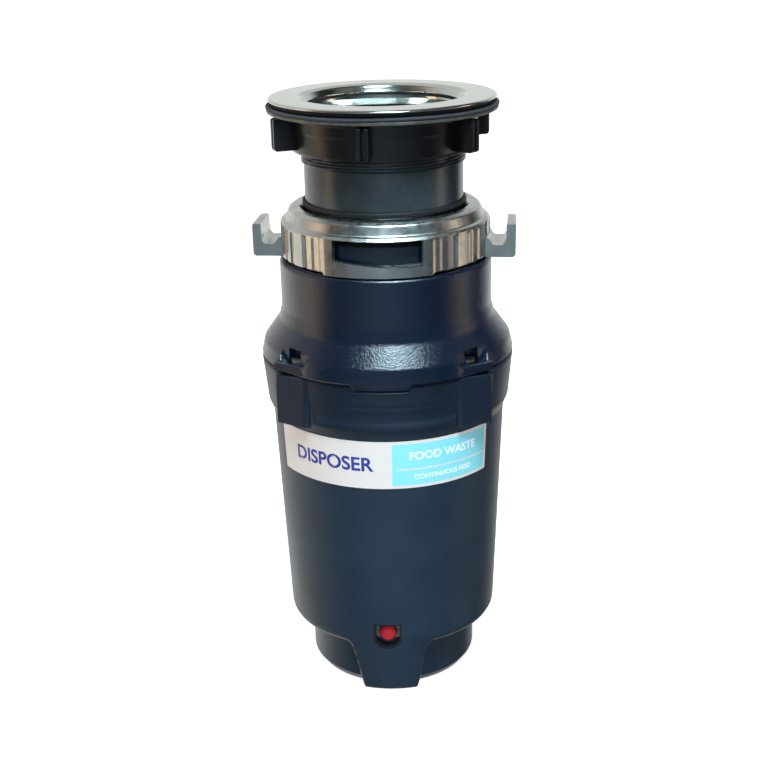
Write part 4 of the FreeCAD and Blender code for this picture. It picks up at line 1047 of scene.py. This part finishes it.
# ------------------------------------------------------------------ clamp stack and nut
# What pinches the sink between two gaskets: a fibre gasket, a backing ring, and a black
# plastic nut whose lugs take a mallet or a wrench.
fibre = moulded("fibre_gasket", paint(44, 46, 54), paint(56, 58, 66), 0.75, 0.35, 0.12)
backing = shade("backing_plate", paint(104, 104, 94), 0.45, 0.6)
backing_cloud = noise_into(backing, 150, 4, "plating_cloud")
tint(backing, backing_cloud.outputs["Fac"], (paint(84, 86, 78), paint(110, 110, 98)))
emboss(backing, backing_cloud.outputs["Fac"], 0.2, 0.1 * MM)


def bowed(amount):
    """Relief that lets a soft ring wave a little up and down along its edge."""
    def relief(radius, height, phi, run):
        wave = np.sin(np.radians(phi * 3 + 40)) + 0.6 * np.sin(np.radians(phi * 5))
        return radius, height + amount * wave * ramp(radius, 46, 56)
    return relief


washer("sink_gasket_ring", "sink_gasket", 42.2, 0.7, rubber, "root", "rubber", None, (-0.7, 0))
washer("fibre_gasket_ring", "lower_gasket", 42.2, 0.6, fibre, "clamp_stack", "fibre",
       bowed(0.12), (0, -0.75))
washer("backing_ring", "backup_ring", 42.2, 0.5, backing, "clamp_stack", "backing")
nut_low = foot_of("mount_nut")
nut_high = top_of("mount_nut")
nut_wall = 47.0
nut_outer = spaced(outline([
    (42.6, nut_low, 0), (nut_wall - 1.2, nut_low, 0.5), (nut_wall - 0.6, nut_low + 1.4, 0.8),
    (nut_wall, nut_low + 10.5, 0.4), (nut_wall + 0.5, nut_low + 11.5, 0.4),
    (nut_wall + 0.5, nut_high - 2.6, 0.5), (nut_wall + 3.2, nut_high - 2.2, 0.4),
    (nut_wall + 3.2, nut_high - 0.2, 0.5), (42.6, nut_high - 0.1, 0),
]), 0.9)
nut_inner = outline([(42.2, nut_high - 0.2, 0), (41.95, nut_high - 0.5, 0.1),
                     (41.95, nut_low + 0.5, 0.1), (42.2, nut_low + 0.1, 0)])
nut_black = moulded("nut_black", paint(10, 11, 13), paint(17, 18, 21), 0.26, 0.8, 0.07)
nut = lathe("mount_nut_barrel", nut_outer, nut_inner, nut_black, 144)
fit(nut, "clamp_nut", "black_plastic", "mount_nut")
lug_angle = -6.4
lug_reach = -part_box("mount_nut")[0][1] / MM


def rib(name, phi, offset, thick, reach, low, high):
    """An upright rib that stands out from the nut beside a radius, its outer edge rounded."""
    section = outline([(nut_wall - 1.5, low + 1.0, 0), (nut_wall - 1.5, low, 0.2),
                       (reach, low, 1.6), (reach, high, 1.2), (nut_wall - 1.5, high, 0.2),
                       (nut_wall - 1.5, low + 2.0, 0)], 4)
    middle = section.mean(0)
    out, side = bearings(phi)
    loops = []
    for across, share in ((-0.5, 0.965), (-0.42, 0.992), (0.42, 0.992), (0.5, 0.965)):
        shaped = middle + (section - middle) * share
        flat = shaped[:, :1] * out + (offset + across * thick) * side
        loops.append(np.column_stack([flat, shaped[:, 1]]))
    return loft(name, loops, nut_black)


for index in range(6):
    phi = lug_angle + 60 * index
    for side_name, offset in (("left", -1.75), ("right", 1.75)):
        plate = rib(f"nut_lug_{index}_{side_name}", phi, offset, 1.9, lug_reach, 288, 304)
        fit(plate, "clamp_nut", "black_plastic")
    web = rib(f"nut_lug_{index}_web", phi, 0, 3.0, lug_reach - 1.6, 289, 303.4)
    fit(web, "clamp_nut", "black_plastic")

# ------------------------------------------------------------------ sink flange
# The stainless flange that shows in the sink: pressed from sheet, with a softly rolled edge,
# a flat rim and a mirror-polished throat, finished on a lathe so its marks run round.
steel_rim = shade("polished_stainless", paint(205, 210, 205), 0.2, 1.0)
rim_nodes = steel_rim.node_tree.nodes
rim_links = steel_rim.node_tree.links
rim_place = rim_nodes.new("ShaderNodeTexCoord")
rim_parts = rim_nodes.new("ShaderNodeSeparateXYZ")
rim_flat = rim_nodes.new("ShaderNodeCombineXYZ")
rim_length = rim_nodes.new("ShaderNodeVectorMath")
rim_length.operation = "LENGTH"
rim_marks = rim_nodes.new("ShaderNodeTexNoise")
rim_marks.noise_dimensions = "1D"
rim_marks.inputs["Scale"].default_value = 2600
rim_marks.inputs["Detail"].default_value = 3
rim_links.new(rim_place.outputs["Object"], rim_parts.inputs["Vector"])
rim_links.new(rim_parts.outputs["X"], rim_flat.inputs["X"])
rim_links.new(rim_parts.outputs["Y"], rim_flat.inputs["Y"])
rim_links.new(rim_flat.outputs["Vector"], rim_length.inputs[0])
rim_links.new(rim_length.outputs["Value"], rim_marks.inputs["W"])
emboss(steel_rim, rim_marks.outputs["Fac"], 0.10, 0.03 * MM)
rim_haze = noise_into(steel_rim, 60, 3, "polish_haze")
vary(steel_rim, "Roughness", rim_haze.outputs["Fac"], 0.12, 0.15)
rim_top = top_of("sink_flange")
rim_reach = reach_of("sink_flange")
skirt_low = foot_of("sink_flange")
flange_outer = spaced(outline([
    (38.0, skirt_low, 0), (38.3, skirt_low + 0.3, 0.1), (38.3, 308.2, 0.8), (40.4, 310.7, 1.5),
    (rim_reach - 0.9, rim_top - 1.25, 1.0), (rim_reach - 0.3, rim_top - 1.5, 0.3),
    (rim_reach, rim_top - 0.9, 0.4), (rim_reach - 0.9, rim_top - 0.05, 0.8),
    (42.2, rim_top, 2.5), (40.2, rim_top - 1.3, 3.0), (38.0, rim_top - 6.4, 6.0),
    (37.5, rim_top - 10.5, 4.0), (37.5, skirt_low + 0.4, 0),
], 8), 0.8)
flange_inner = np.array([[37.55, skirt_low + 0.2], [37.8, skirt_low]])
flange = lathe("sink_flange_pressing", flange_outer, flange_inner, steel_rim, 220)
fit(flange, "root", "stainless", "sink_flange")

# ------------------------------------------------------------------ splash guard
# A loose rubber guard in the throat: a collar with a dished diaphragm, slit into flaps that
# bend down to let scraps through.
guard_low = foot_of("splash_guard")
guard_high = top_of("splash_guard")
guard_reach = reach_of("splash_guard")
guard_outer = spaced(outline([
    (9.0, guard_low + 0.6, 0), (9.4, guard_low + 0.1, 0.3), (24, guard_low + 0.5, 8),
    (34.4, guard_low + 1.8, 1.2), (34.7, guard_low, 0.3), (guard_reach, guard_low, 0.6),
    (guard_reach, guard_high, 0.9), (guard_reach - 2.4, guard_high, 0.9),
    (guard_reach - 2.4, guard_low + 4.2, 2.0), (24, guard_low + 3.2, 8),
    (9.0, guard_low + 2.2, 0.6), (9.0, guard_low + 1.2, 0),
]), 1.2)
guard = lathe("splash_guard_rubber", guard_outer, np.array([[9.0, guard_low + 0.9]]), rubber, 160)
slit_cutters = []
for index in range(10):
    loops = []
    turn = math.radians(36 * index)
    out = np.array([math.cos(turn), math.sin(turn)])
    side = np.array([-math.sin(turn), math.cos(turn)])
    for height in (guard_low - 2, guard_low + 8):
        ring = [out * 8 - side * 0.25, out * 31 - side * 0.4, out * 31.4, out * 31 + side * 0.4,
                out * 8 + side * 0.25]
        loops.append([(spot[0], spot[1], height) for spot in ring])
    slit_cutters.append(loft(f"slit_{index}", loops, rubber))
carve(guard, slit_cutters)
fit(guard, "guard", "rubber", "splash_guard")

# ------------------------------------------------------------------ drain chamber
# A dark moulded bowl between the hopper and the motor, with the bearing's hub in its floor.
# Its spout leaves at the back through the shell's notch and ends in a rounded plate with
# two bolt holes.
bell = moulded("bell_moulding", paint(22, 26, 32), paint(30, 34, 40), 0.5, 0.5, 0.08)
bowl_outer = spaced(outline([
    (11, 138, 0), (50, 138, 1.5), (50, 180, 0.5), (62.8, 180, 0.3), (62.8, 183, 0.3),
    (47, 183, 0),
]), 4)
bowl_inner = spaced(outline([
    (47, 182.9, 0), (47, 142, 2), (15, 142, 1.5), (15, 168, 0.4), (11, 168, 0.3),
    (11, 138.1, 0),
]), 4)
bowl = lathe("end_bell_bowl", bowl_outer, bowl_inner, bell, 144)
spout_axis = 159.5
spout_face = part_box("end_bell")[1][1] / MM
spout_tube = 20
spout_bore = 17
bolt_out = 25
bolt_radius = 2.2


def level_bar(name, radius, across, near, far, finish, steps=48):
    """A level round bar along Y at the height of the spout's axis."""
    turn = np.linspace(0, 2 * math.pi, steps, endpoint=False)
    ring_x = across + radius * np.cos(turn)
    ring_z = spout_axis + radius * np.sin(turn)
    loops = [np.column_stack([ring_x, np.full(steps, reach), ring_z]) for reach in (near, far)]
    return loft(name, loops, finish)


bowl_holes = [upright_bar(f"bowl_hole_{angle}", 2.4, screw_circle, angle, 178, 185, bell)
              for angle in screw_angles]
carve(bowl, [level_bar("bowl_bore", spout_bore, 0, 30, 55, bell)] + bowl_holes)

# The plate's rim is walked round its four rounded corners; each rim point shares its bearing
# from the axis with a point on the tube, so the skin runs rim, plate back, tube, bore, face.
plate_half_x, plate_half_z, plate_round = 31.8, 18.4, 8.0
rim_path = []
for corner, (side_x, side_z) in enumerate(((1, 1), (-1, 1), (-1, -1), (1, -1))):
    for turn in np.linspace(corner, corner + 1, 9) * math.pi / 2:
        rim_path.append((side_x * (plate_half_x - plate_round) + plate_round * math.cos(turn),
                         side_z * (plate_half_z - plate_round) + plate_round * math.sin(turn)))
rim_path = spaced(np.array(rim_path + rim_path[:1]), 2)[:-1]
rim_ray = rim_path / np.linalg.norm(rim_path, axis=1)[:, None]
rim_reach = np.maximum(np.linalg.norm(rim_path, axis=1)[:, None], 21.2)
rim_path = rim_ray * rim_reach
spout_loops = []
for inset, reach in ((0.7, 0), (0.2, 0.2), (0, 0.7), (0, 4.3), (0.2, 4.8), (0.7, 5)):
    spout_loops.append(np.insert(rim_path - rim_ray * inset, 1, spout_face - reach, 1))
for radius, reach in ((spout_tube + 1.4, 5), (spout_tube + 0.4, 5.4), (spout_tube, 6.4)):
    spout_loops.append(np.insert(rim_ray * np.minimum(radius, rim_reach - 0.8), 1,
                                 spout_face - reach, 1))
for radius in (spout_tube, spout_bore):
    root = np.sqrt(48.5 ** 2 - (rim_ray[:, 0] * radius) ** 2)
    spout_loops.append(np.insert(rim_ray * radius, 1, root, 1))
for radius, reach in ((spout_bore, 3), (18.2, 3), (18.2, 0.4), (18.5, 0)):
    spout_loops.append(np.insert(rim_ray * np.minimum(radius, rim_reach - 0.8), 1,
                                 spout_face - reach, 1))
spout_loops = np.array(spout_loops)
spout_loops[:, :, 2] += spout_axis
spout = piece_from("discharge_spout", spout_loops,
                   woven(len(spout_loops), len(rim_path), True), bell)
carve(spout, [level_bar(f"bolt_hole_{side}", bolt_radius, bolt_out * side, spout_face - 6,
                        spout_face + 1, bell, 24) for side in (-1, 1)])
fit(bowl, "root", "bell_plastic", "end_bell")
fit(spout, "root", "bell_plastic")

# ------------------------------------------------------------------ inner parts
# Grinding parts and motor keep their own shapes, and take the finish of the metal, rubber or
# plastic each is made of.


def turned_steel(name, colour, roughness):
    """Bright machined steel with faint clouds and fine scratches."""
    made = shade(name, colour, roughness, 1.0)
    haze = noise_into(made, 130, 4, "haze")
    vary(made, "Roughness", haze.outputs["Fac"], roughness * 0.75, roughness * 1.3)
    scratches = noise_into(made, 700, 3, "scratches", (1, 1, 0.08))
    emboss(made, scratches.outputs["Fac"], 0.15, 0.05 * MM)
    return made


finishes = {
    "bright_steel": (turned_steel("bright_steel", paint(176, 178, 180), 0.32),
                     ("grind_ring", "turntable", "impeller_right", "impeller_left",
                      "impeller_rivets", "turntable_nut", "shaft", "snap_ring", "thrust_washer",
                      "brush_springs", "reset_spring")),
    "plated": (turned_steel("plated_steel", paint(170, 172, 164), 0.38),
               ("housing_screws", "bottom_plate", "wire_cover", "wire_cover_screw",
                "ground_screw", "bottom_screws", "motor_through_bolts", "field_shell")),
    "iron": (turned_steel("lamination_iron", paint(84, 84, 88), 0.55),
             ("armature_core", "field_magnets")),
    "copper": (turned_steel("enamelled_copper", paint(176, 96, 58), 0.35),
               ("armature_windings", "commutator")),
    "bronze": (turned_steel("sintered_bronze", paint(160, 120, 72), 0.5),
               ("upper_bearing", "lower_bearing", "brush_holders")),
    "bell": (bell, ("rectifier",)),
    "grey": (grey, ("overload_protector", "brush_plate", "slinger")),
    "rubber": (rubber, ("mount_cushion", "housing_seal", "shaft_seal")),
    "navy": (navy, ("dishwasher_inlet_plug",)),
    "carbon": (moulded("carbon_block", paint(24, 24, 25), paint(34, 34, 35), 0.7, 0.4, 0.1),
               ("brush_right", "brush_left")),
    "leads": (moulded("lead_sleeve", paint(28, 28, 30), paint(36, 36, 38), 0.45, 1.0, 0.03),
              ("line_leads", "motor_leads")),
}
for finish, members in finishes.values():
    for member in members:
        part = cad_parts[member]
        part.data.materials.clear()
        part.data.materials.append(finish)
